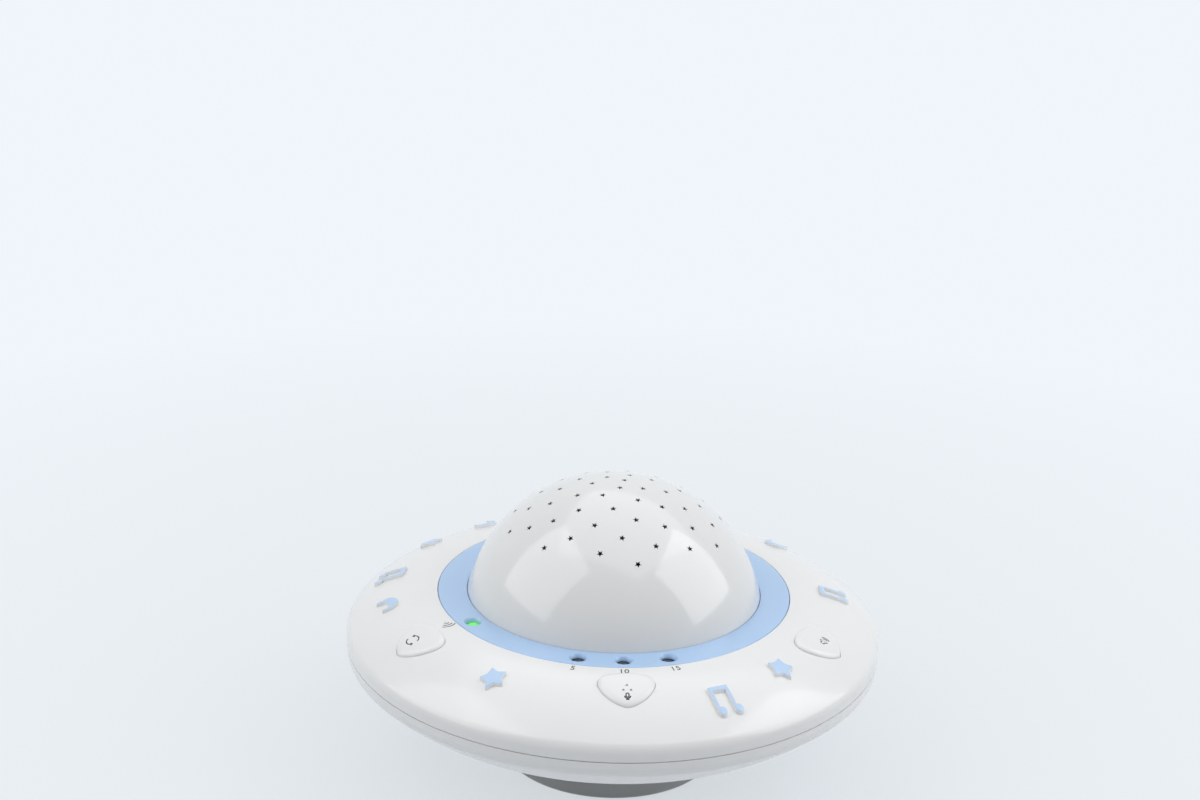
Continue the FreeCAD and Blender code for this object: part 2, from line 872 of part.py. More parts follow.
def make_board_parts():
    """The sound chip, its crystal can and two capacitors, under the board."""
    chip = spun(block(66, 76, -5, 5, board_bottom - 1.8, board_bottom), 255)
    driver = spun(block(70, 76, -3, 3, board_bottom - 1.4, board_bottom), 285)
    parts = [chip, driver]
    for azimuth in (228, 312):
        x, y = polar(70, azimuth)
        parts.append(cylinder(3.0, board_bottom - 7.0, board_bottom, x, y))
    return Part.makeCompound(parts)


def make_microphone():
    capsule = cylinder(mic_capsule_radius, board_top, board_top + mic_capsule_height, mic_capsule_circle)
    mouth_bottom = board_top + mic_capsule_height - 0.5
    mouth = cylinder(1.2, mouth_bottom, mouth_bottom + 1, mic_capsule_circle)
    return spun(capsule.cut(mouth), mic_azimuth)


def lamp_board_bottom():
    return dome_centre - lamp_led_base - board_thickness


def make_lamp_post():
    """The hollow column that carries the lamp at the middle of the dome's sphere."""
    foot = floor_top + post_boss_height
    top = lamp_board_bottom()
    post = tube(post_radius, post_radius - post_wall, foot, top)
    flange = cylinder(post_flange_radius, foot, foot + post_flange_thickness)
    plate = cylinder(lamp_board_radius + 1, top - 2, top)
    holes = [cylinder(small_hole_radius, foot - 1, foot + 5, x, y) for x, y in post_screw_places()]
    holes.append(cylinder(post_radius - post_wall, foot - 1, top - 2))
    holes += [cylinder(1.2, top - 3, top + 1, x, 0) for x in (-wire_spread, wire_spread)]
    holes += [block(-3, 3, -post_flange_radius, 0, foot + 5, foot + 12)]
    return joined(post, [flange, plate]).cut(holes)


def make_lamp_board():
    bottom = lamp_board_bottom()
    return cylinder(lamp_board_radius, bottom, bottom + board_thickness)


def make_projector_led():
    """The bright lamp: a square base with a clear bead on it."""
    half = lamp_led_side / 2
    bottom = lamp_board_bottom() + board_thickness
    base = block(-half, half, -half, half, bottom, dome_centre)
    bead = Part.makeSphere(lamp_led_radius, V(0, 0, dome_centre))
    bead = bead.common(cylinder(lamp_led_radius + 1, dome_centre - 0.1, dome_centre + lamp_led_radius))
    return joined(base, [bead])


def make_speaker_frame():
    """A pressed basket: a flange on the seat, a sloping wall and a roof under the magnet."""
    low = speaker_seat_height
    flange_top = low + speaker_flange_thickness
    roof = flange_top + speaker_basket_height
    edge = speaker_radius - speaker_roll
    frame = turned_points([
        rz(edge - speaker_sheet, low), rz(speaker_radius, low), rz(speaker_radius, flange_top),
        rz(edge + speaker_sheet, flange_top), rz(speaker_magnet_radius + 1, roof), rz(3, roof),
        rz(3, roof - speaker_sheet), rz(speaker_magnet_radius + 0.6, roof - speaker_sheet),
    ])
    return moved(frame, 0, speaker_place, 0)


def make_speaker_cone():
    """A paper cone with a cap, its rim held by the basket's flange."""
    low = speaker_seat_height
    edge = speaker_radius - speaker_roll - speaker_sheet - cone_gap
    deep = low + 5.0
    cone = turned_points([
        rz(0, deep), rz(4.0, deep - 0.8), rz(edge - 2.0, low), rz(edge, low),
        rz(edge, low + cone_thickness), rz(edge - 1.8, low + cone_thickness),
        rz(4.2, deep + cone_thickness), rz(0, deep + 0.8 + cone_thickness),
    ])
    return moved(cone, 0, speaker_place, 0)


def make_speaker_magnet():
    bottom = speaker_seat_height + speaker_flange_thickness + speaker_basket_height
    magnet = cylinder(speaker_magnet_radius, bottom, bottom + speaker_magnet_height, 0, speaker_place)
    return magnet.makeFillet(0.6, [e for e in magnet.Edges if e.BoundBox.ZMin > bottom + 1])


def make_base_foot():
    """The foot: a tapered cup with the battery well, whose mouth is in its underside."""
    bottom = pad_lift
    top = belly_bottom
    cup = turned_points([
        rz(0, bottom), rz(foot_bottom_radius - foot_edge, bottom),
        rz(foot_bottom_radius, bottom + foot_edge), rz(foot_top_radius, top),
        rz(foot_top_radius - foot_wall, top), rz(foot_bottom_radius - foot_wall, bottom + foot_floor),
        rz(0, bottom + foot_floor),
    ])
    half_x = well_width / 2 + well_wall
    half_y = well_length / 2 + well_wall
    solids = [block(-half_x, half_x, -half_y, half_y, bottom, well_roof + well_roof_wall)]
    for x, y in foot_screw_places():
        boss = cylinder(screw_radius + boss_wall, bottom, top, x, y)
        solids.append(boss)
    boss_top = bottom + door_screw_length + 3
    solids.append(cylinder(small_screw_radius + boss_wall, bottom, boss_top, tab_centre, 0))
    return joined(cup, solids).cut(foot_holes())


def foot_holes():
    bottom = pad_lift
    half_x = well_width / 2
    half_y = well_length / 2
    holes = [block(-half_x, half_x, -half_y, half_y, 0, well_roof)]
    holes.append(door_outline(door_gap, 0, bottom + door_thickness))
    pilot_bottom = belly_bottom - foot_screw_length
    for x, y in foot_screw_places():
        holes.append(cylinder(screw_radius + thread_gap, pilot_bottom, belly_bottom + 1, x, y))
        holes.append(cylinder(foot_pad_radius + fit_gap, 0, bottom + foot_pad_recess, x, y))
    pilot_top = bottom + door_screw_length + 1
    holes.append(cylinder(small_screw_radius + thread_gap, 0, pilot_top, tab_centre, 0))
    for x, y in wire_hole_places():
        holes.append(cylinder(wire_radius + fit_gap, well_roof - 1, belly_bottom + 1, x, y))
    low = bottom + door_thickness + 0.1
    for y in (-hook_spacing / 2, hook_spacing / 2):
        side = hook_width / 2 + door_gap
        reach = -half_x - hook_reach - door_gap
        holes.append(block(reach, -half_x + 1, y - side, y + side, low, low + hook_thickness + door_gap))
    return holes


def door_outline(gap, bottom, top):
    """The battery door's outline with its round screw tab, grown by a gap."""
    half_x = door_width / 2 + gap
    half_y = door_length / 2 + gap
    plate = block(-half_x, half_x, -half_y, half_y, bottom, top)
    return joined(plate, [cylinder(door_tab_radius + gap, bottom, top, tab_centre, 0)])


def make_battery_door():
    bottom = pad_lift
    top = bottom + door_thickness - 0.1
    door = door_outline(0, bottom, top)
    hook_bottom = bottom + door_thickness + door_gap
    hook_top = hook_bottom + hook_thickness - 0.1
    edge = -well_width / 2
    inner = edge + hook_root
    side = hook_width / 2
    pieces = []
    for y in (-hook_spacing / 2, hook_spacing / 2):
        pieces.append(block(edge + door_gap, inner, y - side, y + side, top - 0.2, hook_top))
        pieces.append(block(edge - hook_reach, inner, y - side, y + side, hook_bottom, hook_top))
    hole = cylinder(small_hole_radius, 0, top + 1, tab_centre, 0)
    seat = cylinder(small_head_radius + door_gap, 0, bottom + door_head_recess, tab_centre, 0)
    grips = []
    for i in range(5):
        y = -6 + 3 * i
        grips.append(block(-door_width / 2 + 4, -door_width / 2 + 10, y - 0.5, y + 0.5, 0, bottom + 0.4))
    return joined(door, pieces).cut([hole, seat] + grips)


def make_door_screw():
    screw = pan_screw(door_screw_length, small_screw_radius, small_head_radius, door_head_height)
    return moved(screw, tab_centre, 0, pad_lift + door_head_recess)


def make_foot_pads():
    top = pad_lift + foot_pad_recess
    return Part.makeCompound([cylinder(foot_pad_radius, 0, top, x, y) for x, y in foot_screw_places()])


def cell_side(index):
    """Which way a cell points: neighbours lie head to tail."""
    return 1 if index % 2 == 0 else -1


def cell_x(index):
    return (index - (cell_count - 1) / 2) * cell_pitch


def make_cell(index):
    """A cell along Y with its raised positive end against its contact plate."""
    end = well_length / 2 - contact_thickness - 0.1
    start = end - cell_length
    can = Part.makeCylinder(cell_radius, cell_length - cell_nub_height, V(0, start, 0), V(0, 1, 0))
    can = can.makeFillet(0.5, [e for e in can.Edges if e.Length > 30])
    nub = Part.makeCylinder(cell_nub_radius, cell_length - 5, V(0, start + 5, 0), V(0, 1, 0))
    cell = joined(can, [nub])
    if cell_side(index) < 0:
        cell.rotate(ORIGIN, UP, 180)
    return moved(cell, cell_x(index), 0, cell_height)


def make_springs():
    """The coil that pushes on the flat end of each cell."""
    end = well_length / 2 - contact_thickness - 0.15
    room = 2 * (end + 0.05) - cell_length - 0.1
    height = room - 2 * spring_wire - 0.3
    steps = int(spring_turns * spring_corners)
    points = []
    for i in range(steps + 1):
        x, y = polar(spring_radius, 360 * i / spring_corners)
        points.append(V(x, y, height * i / steps))
    coil = wire_run(points, spring_wire, spring_bend)
    coils = []
    for index in range(cell_count):
        spring = coil.copy()
        spring.rotate(ORIGIN, V(1, 0, 0), -90)
        spring.translate(V(0, -end + spring_wire + 0.1, 0))
        if cell_side(index) < 0:
            spring.rotate(ORIGIN, UP, 180)
        coils.append(moved(spring, cell_x(index), 0, cell_height))
    return Part.makeCompound(coils)


def make_contacts():
    """The metal plates at both ends of the well: one pair joined at each end, one single."""
    plates = []
    half = cell_radius - 1.5
    low = cell_height - half
    high = cell_height + half
    for side in (-1, 1):
        near = well_length / 2 - contact_thickness
        y0 = min(side * near, side * well_length / 2)
        y1 = max(side * near, side * well_length / 2)
        single = cell_x(0) if side < 0 else cell_x(cell_count - 1)
        pair = (cell_x(1), cell_x(2)) if side < 0 else (cell_x(0), cell_x(1))
        plates.append(block(single - half, single + half, y0, y1, low, high))
        plates.append(block(pair[0] - half, pair[1] + half, y0, y1, low, high))
    return Part.makeCompound(plates)


def make_power_switch():
    """The slide switch's case, above the roof of its pocket."""
    bottom = pocket_roof() + pocket_wall
    half_y = switch_body_length / 2
    top = bottom + switch_body_height
    case = switch_block(switch_body_width / 2, -half_y, half_y, bottom, top)
    room_x = knob_width / 2 + carriage_margin + fit_gap
    room_y = (knob_length + knob_travel) / 2 + carriage_margin + fit_gap
    room_top = bottom + carriage_height + 2 * fit_gap
    return case.cut(switch_block(room_x, -room_y, room_y, bottom - 1, room_top))


def make_power_knob():
    """The knob that hangs through the slot, with the carriage that slides in the case."""
    roof = pocket_roof() + pocket_wall
    start = -(knob_length + knob_travel) / 2
    end = start + knob_length
    half = knob_width / 2
    low = pocket_roof() - knob_drop
    bed = roof + fit_gap
    tab = switch_block(half, start, end, low, bed + carriage_height)
    carriage = switch_block(half + carriage_margin, start - carriage_margin, end + carriage_margin,
                            bed, bed + carriage_height)
    grooves = []
    for i in range(3):
        y = start + knob_length / 2 + (i - 1) * knob_groove_pitch
        grooves.append(switch_block(half, y - 0.3, y + 0.3, low - 1, low + 0.4))
    return joined(tab, [carriage]).cut(grooves)


def wire_run(points, radius=wire_radius, bend=wire_bend):
    """A round wire along straight runs with tangent arcs between them."""
    edges = []
    start = points[0]
    for before, corner, after in zip(points[:-2], points[1:-1], points[2:]):
        into = (corner - before).normalize()
        away = (after - corner).normalize()
        half = into.getAngle(away) / 2
        cut = bend * math.tan(half)
        first = corner - into * cut
        last = corner + away * cut
        inward = (away - into).normalize()
        middle = corner + inward * (bend / math.cos(half) - bend)
        edges.append(line(start, first))
        edges.append(arc(first, middle, last))
        start = last
    edges.append(line(start, points[-1]))
    direction = (points[1] - points[0]).normalize()
    section = Part.Wire([Part.makeCircle(radius, points[0], direction)])
    return Part.Wire(edges).makePipeShell([section], True, False)


def make_battery_leads():
    """Two wires from the battery contacts up to the board."""
    wires = []
    for x, y in wire_hole_places():
        side = math.copysign(1, x)
        low = V(x, y, cell_height + cell_radius - 1.0)
        turn = V(x, y, floor_top + 10)
        out = V(side * 24, -53, floor_top + 16)
        top = V(side * 24, -53, board_bottom)
        wires.append(wire_run([low, turn, out, top]))
    return Part.makeCompound(wires)


def make_speaker_leads():
    """Two wires from the loudspeaker's magnet to the end of the board."""
    top = speaker_seat_height + speaker_flange_thickness + speaker_basket_height + speaker_magnet_height
    wires = []
    for side in (0, 1):
        shift = side * 2 * wire_spread
        start = V(3 + shift, speaker_place, top)
        rise = V(3 + shift, speaker_place, top + 3 + wire_bend)
        across = V(56 + shift, 30, top + 3 + wire_bend)
        down = V(53 + shift, -12, board_bottom - 9)
        end = V(53 + shift, -12, board_bottom)
        wires.append(wire_run([start, rise, across, down, end], bend=3.0))
    return Part.makeCompound(wires)


def make_lamp_leads():
    """Two wires down the lamp post and out to the board."""
    wires = []
    for x in (-wire_spread, wire_spread):
        out_height = floor_top + post_boss_height + 8.5
        start = V(x, 0, lamp_board_bottom())
        down = V(x, 0, out_height)
        out = V(x, -54, out_height)
        end = V(x, -54, board_bottom)
        wires.append(wire_run([start, down, out, end]))
    return Part.makeCompound(wires)


def build():
    """Every node of the light, by name."""
    nodes = {
        "upper_shell": make_upper_shell(),
        "lower_shell": make_lower_shell(),
        "trim_ring": make_trim_ring(),
        "star_dome": make_star_dome(),
        "mode_button": make_button(mode_azimuth),
        "volume_button": make_button(volume_azimuth),
        "mic_cover": make_mic_cover(),
        "mode_switch": make_tact_switch(mode_azimuth),
        "volume_switch": make_tact_switch(volume_azimuth),
        "mode_plunger": make_plunger(mode_azimuth),
        "volume_plunger": make_plunger(volume_azimuth),
        "led_leads": make_leads(),
        "control_board": make_board(),
        "board_parts": make_board_parts(),
        "microphone": make_microphone(),
        "lamp_post": make_lamp_post(),
        "lamp_board": make_lamp_board(),
        "projector_led": make_projector_led(),
        "speaker_frame": make_speaker_frame(),
        "speaker_cone": make_speaker_cone(),
        "speaker_magnet": make_speaker_magnet(),
        "base_foot": make_base_foot(),
        "battery_door": make_battery_door(),
        "battery_door_screw": make_door_screw(),
        "rubber_feet": make_foot_pads(),
        "battery_springs": make_springs(),
        "battery_contacts": make_contacts(),
        "power_switch": make_power_switch(),
        "power_knob": make_power_knob(),
        "battery_leads": make_battery_leads(),
        "speaker_leads": make_speaker_leads(),
        "lamp_leads": make_lamp_leads(),
    }
    nodes.update(make_badges())
    for name, azimuth in led_azimuths.items():
        nodes[name] = make_indicator(azimuth)
    for index in range(cell_count):
        nodes[f"battery_cell_{index + 1}"] = make_cell(index)
    nodes.update(make_screws())
    return nodes


def make_screws():
    """The four kinds of fastener inside, each kind one node."""
    board_places = [polar(board_screw_circle, azimuth) for azimuth in board_screw_azimuths]
    post_seat = floor_top + post_boss_height + post_flange_thickness
    speaker_seat = speaker_seat_height + speaker_flange_thickness
    case_seat = parting_height - case_seat_depth
    foot_screw = hanging(pan_screw(foot_screw_length))
    post_screw = hanging(small_screw(post_screw_length))
    return {
        "case_screws": screw_group(pan_screw(case_screw_length), case_screw_places(), case_seat),
        "board_screws": screw_group(small_screw(board_screw_length), board_places, board_bottom),
        "post_screws": screw_group(post_screw, post_screw_places(), post_seat),
        "speaker_screws": screw_group(hanging(small_screw(6.0)), speaker_screw_places(), speaker_seat),
        "foot_screws": screw_group(foot_screw, foot_screw_places(), floor_top),
    }


def main():
    os.makedirs("parts", exist_ok=True)
    nodes = build()
    for name, shape in nodes.items():
        shape.exportStep(f"parts/{name}.step")
        solids = len(shape.Solids)
        print(f"{name}: {solids} solids, {shape.Volume:.0f} mm3, valid {shape.isValid()}")


main()
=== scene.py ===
# %% [markdown]
# # A saucer night light with a pierced star dome
#
# This lesson dresses a nursery night light: a white saucer in two shells, a pale-blue ring, a
# glossy dome pierced with small stars, three control pads and a scatter of raised badges. The
# construction already exists as a fixed frame of parts at their real sizes. Every piece made
# here is measured from that frame, so that it lands where the part that it stands for is.

# %% The fixed frame
import math

import bmesh
import bpy
import numpy as np
from mathutils import Matrix, Vector


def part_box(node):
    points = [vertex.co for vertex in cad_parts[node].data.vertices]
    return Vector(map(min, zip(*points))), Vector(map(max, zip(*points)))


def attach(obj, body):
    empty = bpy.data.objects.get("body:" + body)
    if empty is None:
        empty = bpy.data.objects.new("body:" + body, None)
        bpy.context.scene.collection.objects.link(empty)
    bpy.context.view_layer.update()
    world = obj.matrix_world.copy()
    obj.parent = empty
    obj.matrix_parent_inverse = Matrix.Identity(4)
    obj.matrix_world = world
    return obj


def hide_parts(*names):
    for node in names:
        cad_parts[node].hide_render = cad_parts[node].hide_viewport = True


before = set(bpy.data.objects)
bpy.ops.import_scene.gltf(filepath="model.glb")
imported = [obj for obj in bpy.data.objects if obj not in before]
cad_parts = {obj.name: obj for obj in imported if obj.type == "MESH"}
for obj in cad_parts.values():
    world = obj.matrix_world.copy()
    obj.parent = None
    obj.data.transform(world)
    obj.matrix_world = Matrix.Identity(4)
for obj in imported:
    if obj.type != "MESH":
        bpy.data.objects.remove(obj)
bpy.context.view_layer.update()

print("parts in the frame:", len(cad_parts))

# %% [markdown]
# ## Sizes
#
# The sizes that matter are read off the frame: how wide the saucer is, where its two shells
# meet, how high the ring and the dome stand. The few that no corner of a part shows, such as
# the wall or a rounding, are named here. Everything is worked out in millimetres and turned
# into metres only when a mesh is made, because a maker thinks in millimetres.

# %% Sizes in millimetres
MM = 0.001


def low(node, axis):
    return round(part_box(node)[0][axis] / MM, 1)


def high(node, axis):
    return round(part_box(node)[1][axis] / MM, 1)


body_radius = high("upper_shell", 0)
parting = low("upper_shell", 2)
ring_radius = high("trim_ring", 0)
ring_top = high("trim_ring", 2)
dome_top = high("star_dome", 2)
ledge_top = low("star_dome", 2)
dome_flange = 2.65
dome_radius_at_ring = high("star_dome", 0) - dome_flange
rim_radius = 5.0
crown_rim_lift = 2.8
wall = 2.2
fit_gap = 0.2
pad_proud = 1.3
badge_proud = 1.3
dome_height = dome_top - ring_top
sphere_radius = (dome_radius_at_ring ** 2 + dome_height ** 2) / (2 * dome_height)
sphere_middle = dome_top - sphere_radius
print(f"saucer {2 * body_radius:.0f} mm wide and {dome_top:.1f} mm high")
print(f"dome sphere {sphere_radius:.1f} mm")

# %% [markdown]
# ## The crown's curve
#
# The top of the saucer is one long arc that is level where it meets the ring and runs smoothly
# into the small round of the rim. Its radius isn't chosen: it follows from those two ends. The
# same formula later lays pads, badges and printing on the crown, so nothing floats or sinks.

# %% The crown as a formula
rim_middle = (body_radius - rim_radius, parting + crown_rim_lift)
crown_run = rim_middle[0] - ring_radius
crown_fall = ring_top - rim_middle[1]
crown_chord = crown_run ** 2 + crown_fall ** 2 - rim_radius ** 2
crown_radius = crown_chord / (2 * (crown_fall - rim_radius))
crown_middle = (ring_radius, ring_top - crown_radius)
crown_blend = math.degrees(math.atan2(rim_middle[1] - crown_middle[1], crown_run))


def crown_height(r, lift=0.0):
    """Height of the crown, or of the layer that lies a little above or below it."""
    return crown_middle[1] + math.sqrt((crown_radius + lift) ** 2 - (r - crown_middle[0]) ** 2)


def crown_angle(r, lift=0.0):
    """Angle on the crown's arc at which it has this radius from the axis."""
    return math.degrees(math.acos((r - crown_middle[0]) / (crown_radius + lift)))


def swing(middle, radius, start, end, steps):
    """Points of an arc in a section, between two angles in degrees."""
    turns = [math.radians(start + (end - start) * i / steps) for i in range(steps + 1)]
    return [(middle[0] + radius * math.cos(t), middle[1] + radius * math.sin(t)) for t in turns]


def polar(radius, azimuth):
    turn = math.radians(azimuth)
    return radius * math.cos(turn), radius * math.sin(turn)


print(f"crown arc {crown_radius:.2f} mm, it meets the rim at {crown_blend:.1f} degrees")

# %% [markdown]
# ## Writing node trees as sums
#
# Shader and geometry nodes are arithmetic drawn as boxes. A small class wraps one output socket
# and teaches Python's own operators to add the Math nodes, so `1 - mask * 0.5` is written as it
# is read. The reflected forms matter: without them a plain number could not stand on the left.

# %% A socket that can be added and multiplied
class Wire:
    """One output socket. Arithmetic on it adds the Math nodes that work it out."""

    def __init__(self, graph, socket):
        self.graph = graph
        self.socket = socket

    def work(self, operation, a, b):
        return self.graph.node("ShaderNodeMath", {"operation": operation}, {0: a, 1: b})

    def __add__(self, other):
        return self.work("ADD", self, other)

    def __sub__(self, other):
        return self.work("SUBTRACT", self, other)

    def __rsub__(self, other):
        return self.work("SUBTRACT", other, self)

    def __mul__(self, other):
        return self.work("MULTIPLY", self, other)

    def __truediv__(self, other):
        return self.work("DIVIDE", self, other)

    def __pow__(self, other):
        return self.work("POWER", self, other)

    def __gt__(self, other):
        return self.work("GREATER_THAN", self, other)

    __radd__ = __add__
    __rmul__ = __mul__


# %% [markdown]
# One method adds every other kind of node. It takes the node's type, its settings, and what
# goes into its sockets. Settings go first, because some of them change which sockets there are.

# %% A tree that builds itself from one method
class Graph:
    """A node tree under construction."""

    def __init__(self, tree):
        self.tree = tree

    def feed(self, socket, value):
        if isinstance(value, Wire):
            self.tree.links.new(value.socket, socket)
        else:
            socket.default_value = value

    def node(self, kind, settings=None, inputs=None, output=0):
        """Adds a node and returns one of its outputs."""
        made = self.tree.nodes.new(kind)
        for name, value in (settings or {}).items():
            setattr(made, name, value)
        for name, value in (inputs or {}).items():
            self.feed(made.inputs[name], value)
        return Wire(self, made.outputs[output])

    def mix(self, factor, a, b):
        """A colour between two, each a wire or a plain (red, green, blue)."""
        a, b = (c if isinstance(c, Wire) else (*c, 1) for c in (a, b))
        return self.node("ShaderNodeMix", {"data_type": "RGBA"}, {0: factor, 6: a, 7: b}, 2)

    def clamp(self, value):
        return self.node("ShaderNodeClamp", None, {"Value": value})


# %% [markdown]
# ## Finishes
#
# Each finish is one Principled shader. Its constants sit on the shader's own sockets, and only
# what really changes over the surface is a network: colour, roughness and the fine relief. The
# patterns read object coordinates, which are metres in the common frame, so a grain of half a
# millimetre is half a millimetre on every piece.

# %% The base of every finish
finish = {}


class Finish(Graph):
    """A material with one Principled shader, kept under the name of its slot."""

    def __init__(self, slot, family, constants=None):
        finish[slot] = bpy.data.materials.new(f"{family}_{slot}")
        finish[slot].use_nodes = True
        super().__init__(finish[slot].node_tree)
        self.shader = self.tree.nodes["Principled BSDF"]
        self.place = self.node("ShaderNodeTexCoord", output="Object")
        for socket, value in (constants or {}).items():
            self.shader.inputs[socket].default_value = value

    def noise(self, size, detail=2.0):
        """A soft random pattern whose blobs are about this many millimetres."""
        inputs = {"Vector": self.place, "Scale": 1 / (size * MM), "Detail": detail}
        return self.node("ShaderNodeTexNoise", None, inputs)

    def part(self, axis):
        """One coordinate of the place, in millimetres."""
        return self.node("ShaderNodeSeparateXYZ", None, {0: self.place}, axis) * (1 / MM)

    def away(self, x, y, z):
        """Distance of the place from a point, in millimetres."""
        inputs = {0: self.place, 1: (x * MM, y * MM, z * MM)}
        arm = self.node("ShaderNodeVectorMath", {"operation": "SUBTRACT"}, inputs)
        reach = self.node("ShaderNodeVectorMath", {"operation": "LENGTH"}, {0: arm}, "Value")
        return reach * (1 / MM)

    def paint(self, colour, roughness):
        self.feed(self.shader.inputs["Base Color"], colour)
        self.feed(self.shader.inputs["Roughness"], roughness)

    def wear(self, colour, other, roughness, spread, cloud=25.0):
        """Lets colour and roughness drift a little over the piece."""
        drift = self.mix(self.noise(cloud, 3.0), colour, other)
        self.paint(drift, roughness + (self.noise(cloud / 6) - 0.5) * spread)

    def relief(self, height, depth):
        """Fine relief, in millimetres from lowest to highest."""
        inputs = {"Strength": 1.0, "Distance": depth * MM, "Height": height}
        bump = self.node("ShaderNodeBump", None, inputs)
        self.feed(self.shader.inputs["Normal"], bump)


def moulded(slot, colour, roughness, grain, depth, constants=None, fade=0.94):
    """Injection-moulded plastic: a slight drift of tone and a fine skin."""
    made = Finish(slot, "moulded", constants)
    made.wear(tuple(c * fade for c in colour), colour, roughness, 0.08)
    made.relief(made.noise(grain, 3.0), depth)


print("a finish is one Principled shader with three varying inputs")

# %% [markdown]
# The saucer and its pads are glossy white ABS. Polished moulds leave a faint orange peel that
# bends reflections without breaking them, so the relief is wide and only microns deep.

# %% Glossy white shell
gloss = {"Coat Weight": 0.35, "Coat Roughness": 0.06, "Specular IOR Level": 0.5}
moulded("shell_white", (0.83, 0.835, 0.84), 0.22, 5.0, 0.004, gloss, 0.985)
moulded("post_white", (0.74, 0.74, 0.72), 0.42, 0.8, 0.01)
print("shell finish made")

# %% [markdown]
# The dome is the same white, but its holes look dark because the room inside is unlit, and that
# shade is painted: a mask of the distance from the middle of the dome's sphere paints dark grey on
# everything that lies deeper than the outer skin, which is only the holes' walls and the inside.

# %% Dome, white outside, with painted shade in its holes
def dome_finish():
    made = Finish("dome_white", "moulded", {"Coat Weight": 0.6, "Coat Roughness": 0.03})
    skin = 0.1
    fade = 0.6
    depth = sphere_radius - made.away(0, 0, sphere_middle)
    # Painted shade: deeper than the outer skin the colour turns dark grey, for the unlit inside.
    hole = made.clamp((depth - skin) / fade) * (made.part("Z") > ring_top + fade)
    cloud = made.mix(made.noise(30.0), (0.76, 0.765, 0.765), (0.79, 0.795, 0.795))
    haze = (made.noise(4.0) - 0.5) * 0.05
    made.paint(made.mix(hole, cloud, (0.13, 0.13, 0.135)), 0.15 + hole * 0.4 + haze)
    made.relief(made.noise(6.0), 0.004)


dome_finish()
print("dome finish made")

# %% [markdown]
# The ring and the badges are tinted with a pearl paint: a pale blue under a thin lacquer. The
# flakes are far too small to see one by one, so they are a very fine drift in colour and gloss.
# A badge is white plastic whose flat top alone is printed, so its paint has a mask.

# %% Pale-blue pearl paint
def pearl(slot, deep, pale, roughness, mask=None):
    """The paint, over the whole piece or only where a mask made for this finish says so."""
    made = Finish(slot, "pearl", {"Coat Weight": 0.5, "Coat Roughness": 0.12})
    flake = made.noise(0.25, 1.0)
    colour = made.mix(flake * 0.5 + made.noise(18.0) * 0.5, deep, pale)
    if mask:
        colour = made.mix(mask(made), (0.82, 0.83, 0.84), colour)
    made.paint(colour, roughness + (flake - 0.5) * 0.1)
    made.relief(made.noise(2.0), 0.004)


def badge_tops(made):
    """1 on the flat tops of the badges and 0 on their flanks, by height above the crown."""
    x = made.part("X")
    y = made.part("Y")
    out = (x * x + y * y) ** 0.5 - crown_middle[0]
    up = made.part("Z") - crown_middle[1]
    lift = (out * out + up * up) ** 0.5 - crown_radius
    return made.clamp((lift - (badge_proud - 0.22)) / 0.08)


pearl("ring_blue", (0.37, 0.56, 0.84), (0.43, 0.61, 0.87), 0.3)
pearl("badge_blue", (0.44, 0.62, 0.88), (0.50, 0.67, 0.90), 0.34, badge_tops)
print("pearl finishes made")

# %% [markdown]
# The foot and the battery door are grey with a spark-eroded texture, which hides scuffs. Part of
# their grey is painted shade, for the shade that falls under the saucer. The rubber pads under
# them are darker, matt and slightly dusty.

# %% Grey foot and rubber pads
# Part of this grey is painted shade: the foot is made darker for the shade under the saucer.
moulded("foot_grey", (0.47, 0.475, 0.475), 0.42, 0.35, 0.02, None, 0.93)
moulded("foot_rubber", (0.055, 0.055, 0.06), 0.75, 0.6, 0.03, None, 0.7)
moulded("part_black", (0.028, 0.028, 0.03), 0.45, 0.3, 0.01, None, 0.8)
print("foot finishes made")

# %% [markdown]
# A lit indicator is a clear green body whose glow is strongest in the middle. The unlit ones
# are smoky and mirror the room. The glow fades with the distance from the lit lamp's own place.

# %% Indicator lamps
led_circle = 63.5
led_azimuths = {"vox_led": 210, "timer_led_5": 255, "timer_led_10": 270, "timer_led_15": 285}


def lamp_finish(slot, colour, dark, glow, coat=0.8):
    made = Finish(slot, "lamp", {"Coat Weight": coat, "Coat Roughness": 0.04})
    if glow:
        core = 1.0
        fade = 2.2
        x, y = polar(led_circle, led_azimuths["vox_led"])
        edge = made.clamp((made.away(x, y, ring_top) - core) / fade)
        light = made.mix(edge, (0.14, 0.95, 0.05), (0.02, 0.50, 0.02))
        made.feed(made.shader.inputs["Emission Color"], light)
        made.shader.inputs["Emission Strength"].default_value = glow
    made.wear(dark, colour, 0.18, 0.06, 1.2)


lamp_finish("led_green", (0.04, 0.50, 0.03), (0.02, 0.36, 0.02), 0.75, 0.15)
lamp_finish("led_dark", (0.022, 0.026, 0.032), (0.012, 0.014, 0.018), 0.0, 0.15)
lamp_finish("lamp_yellow", (0.85, 0.62, 0.12), (0.75, 0.50, 0.08), 0.0)
print("lamp finishes made")

# %% [markdown]
# Metal pieces differ mostly in their grain. A drawn or stamped metal has streaks, which are
# noise squeezed hard along one axis, and they show in the roughness far more than in colour.

# %% Metals inside and under the light
def metal(slot, colour, roughness):
    made = Finish(slot, "metal", {"Metallic": 1.0})
    squeezed = made.node("ShaderNodeMapping", None, {"Vector": made.place, "Scale": (1, 1, 14)})
    inputs = {"Vector": squeezed, "Scale": 1 / (2.5 * MM), "Detail": 4.0}
    grain = made.node("ShaderNodeTexNoise", None, inputs)
    dull = tuple(c * 0.82 for c in colour)
    made.paint(made.mix(grain, dull, colour), roughness + (grain - 0.5) * 0.12)
    made.relief(grain, 0.006)


metal("tin_steel", (0.72, 0.71, 0.69), 0.32)
metal("spring_steel", (0.66, 0.66, 0.66), 0.25)
metal("speaker_steel", (0.55, 0.56, 0.58), 0.38)
print("metal finishes made")

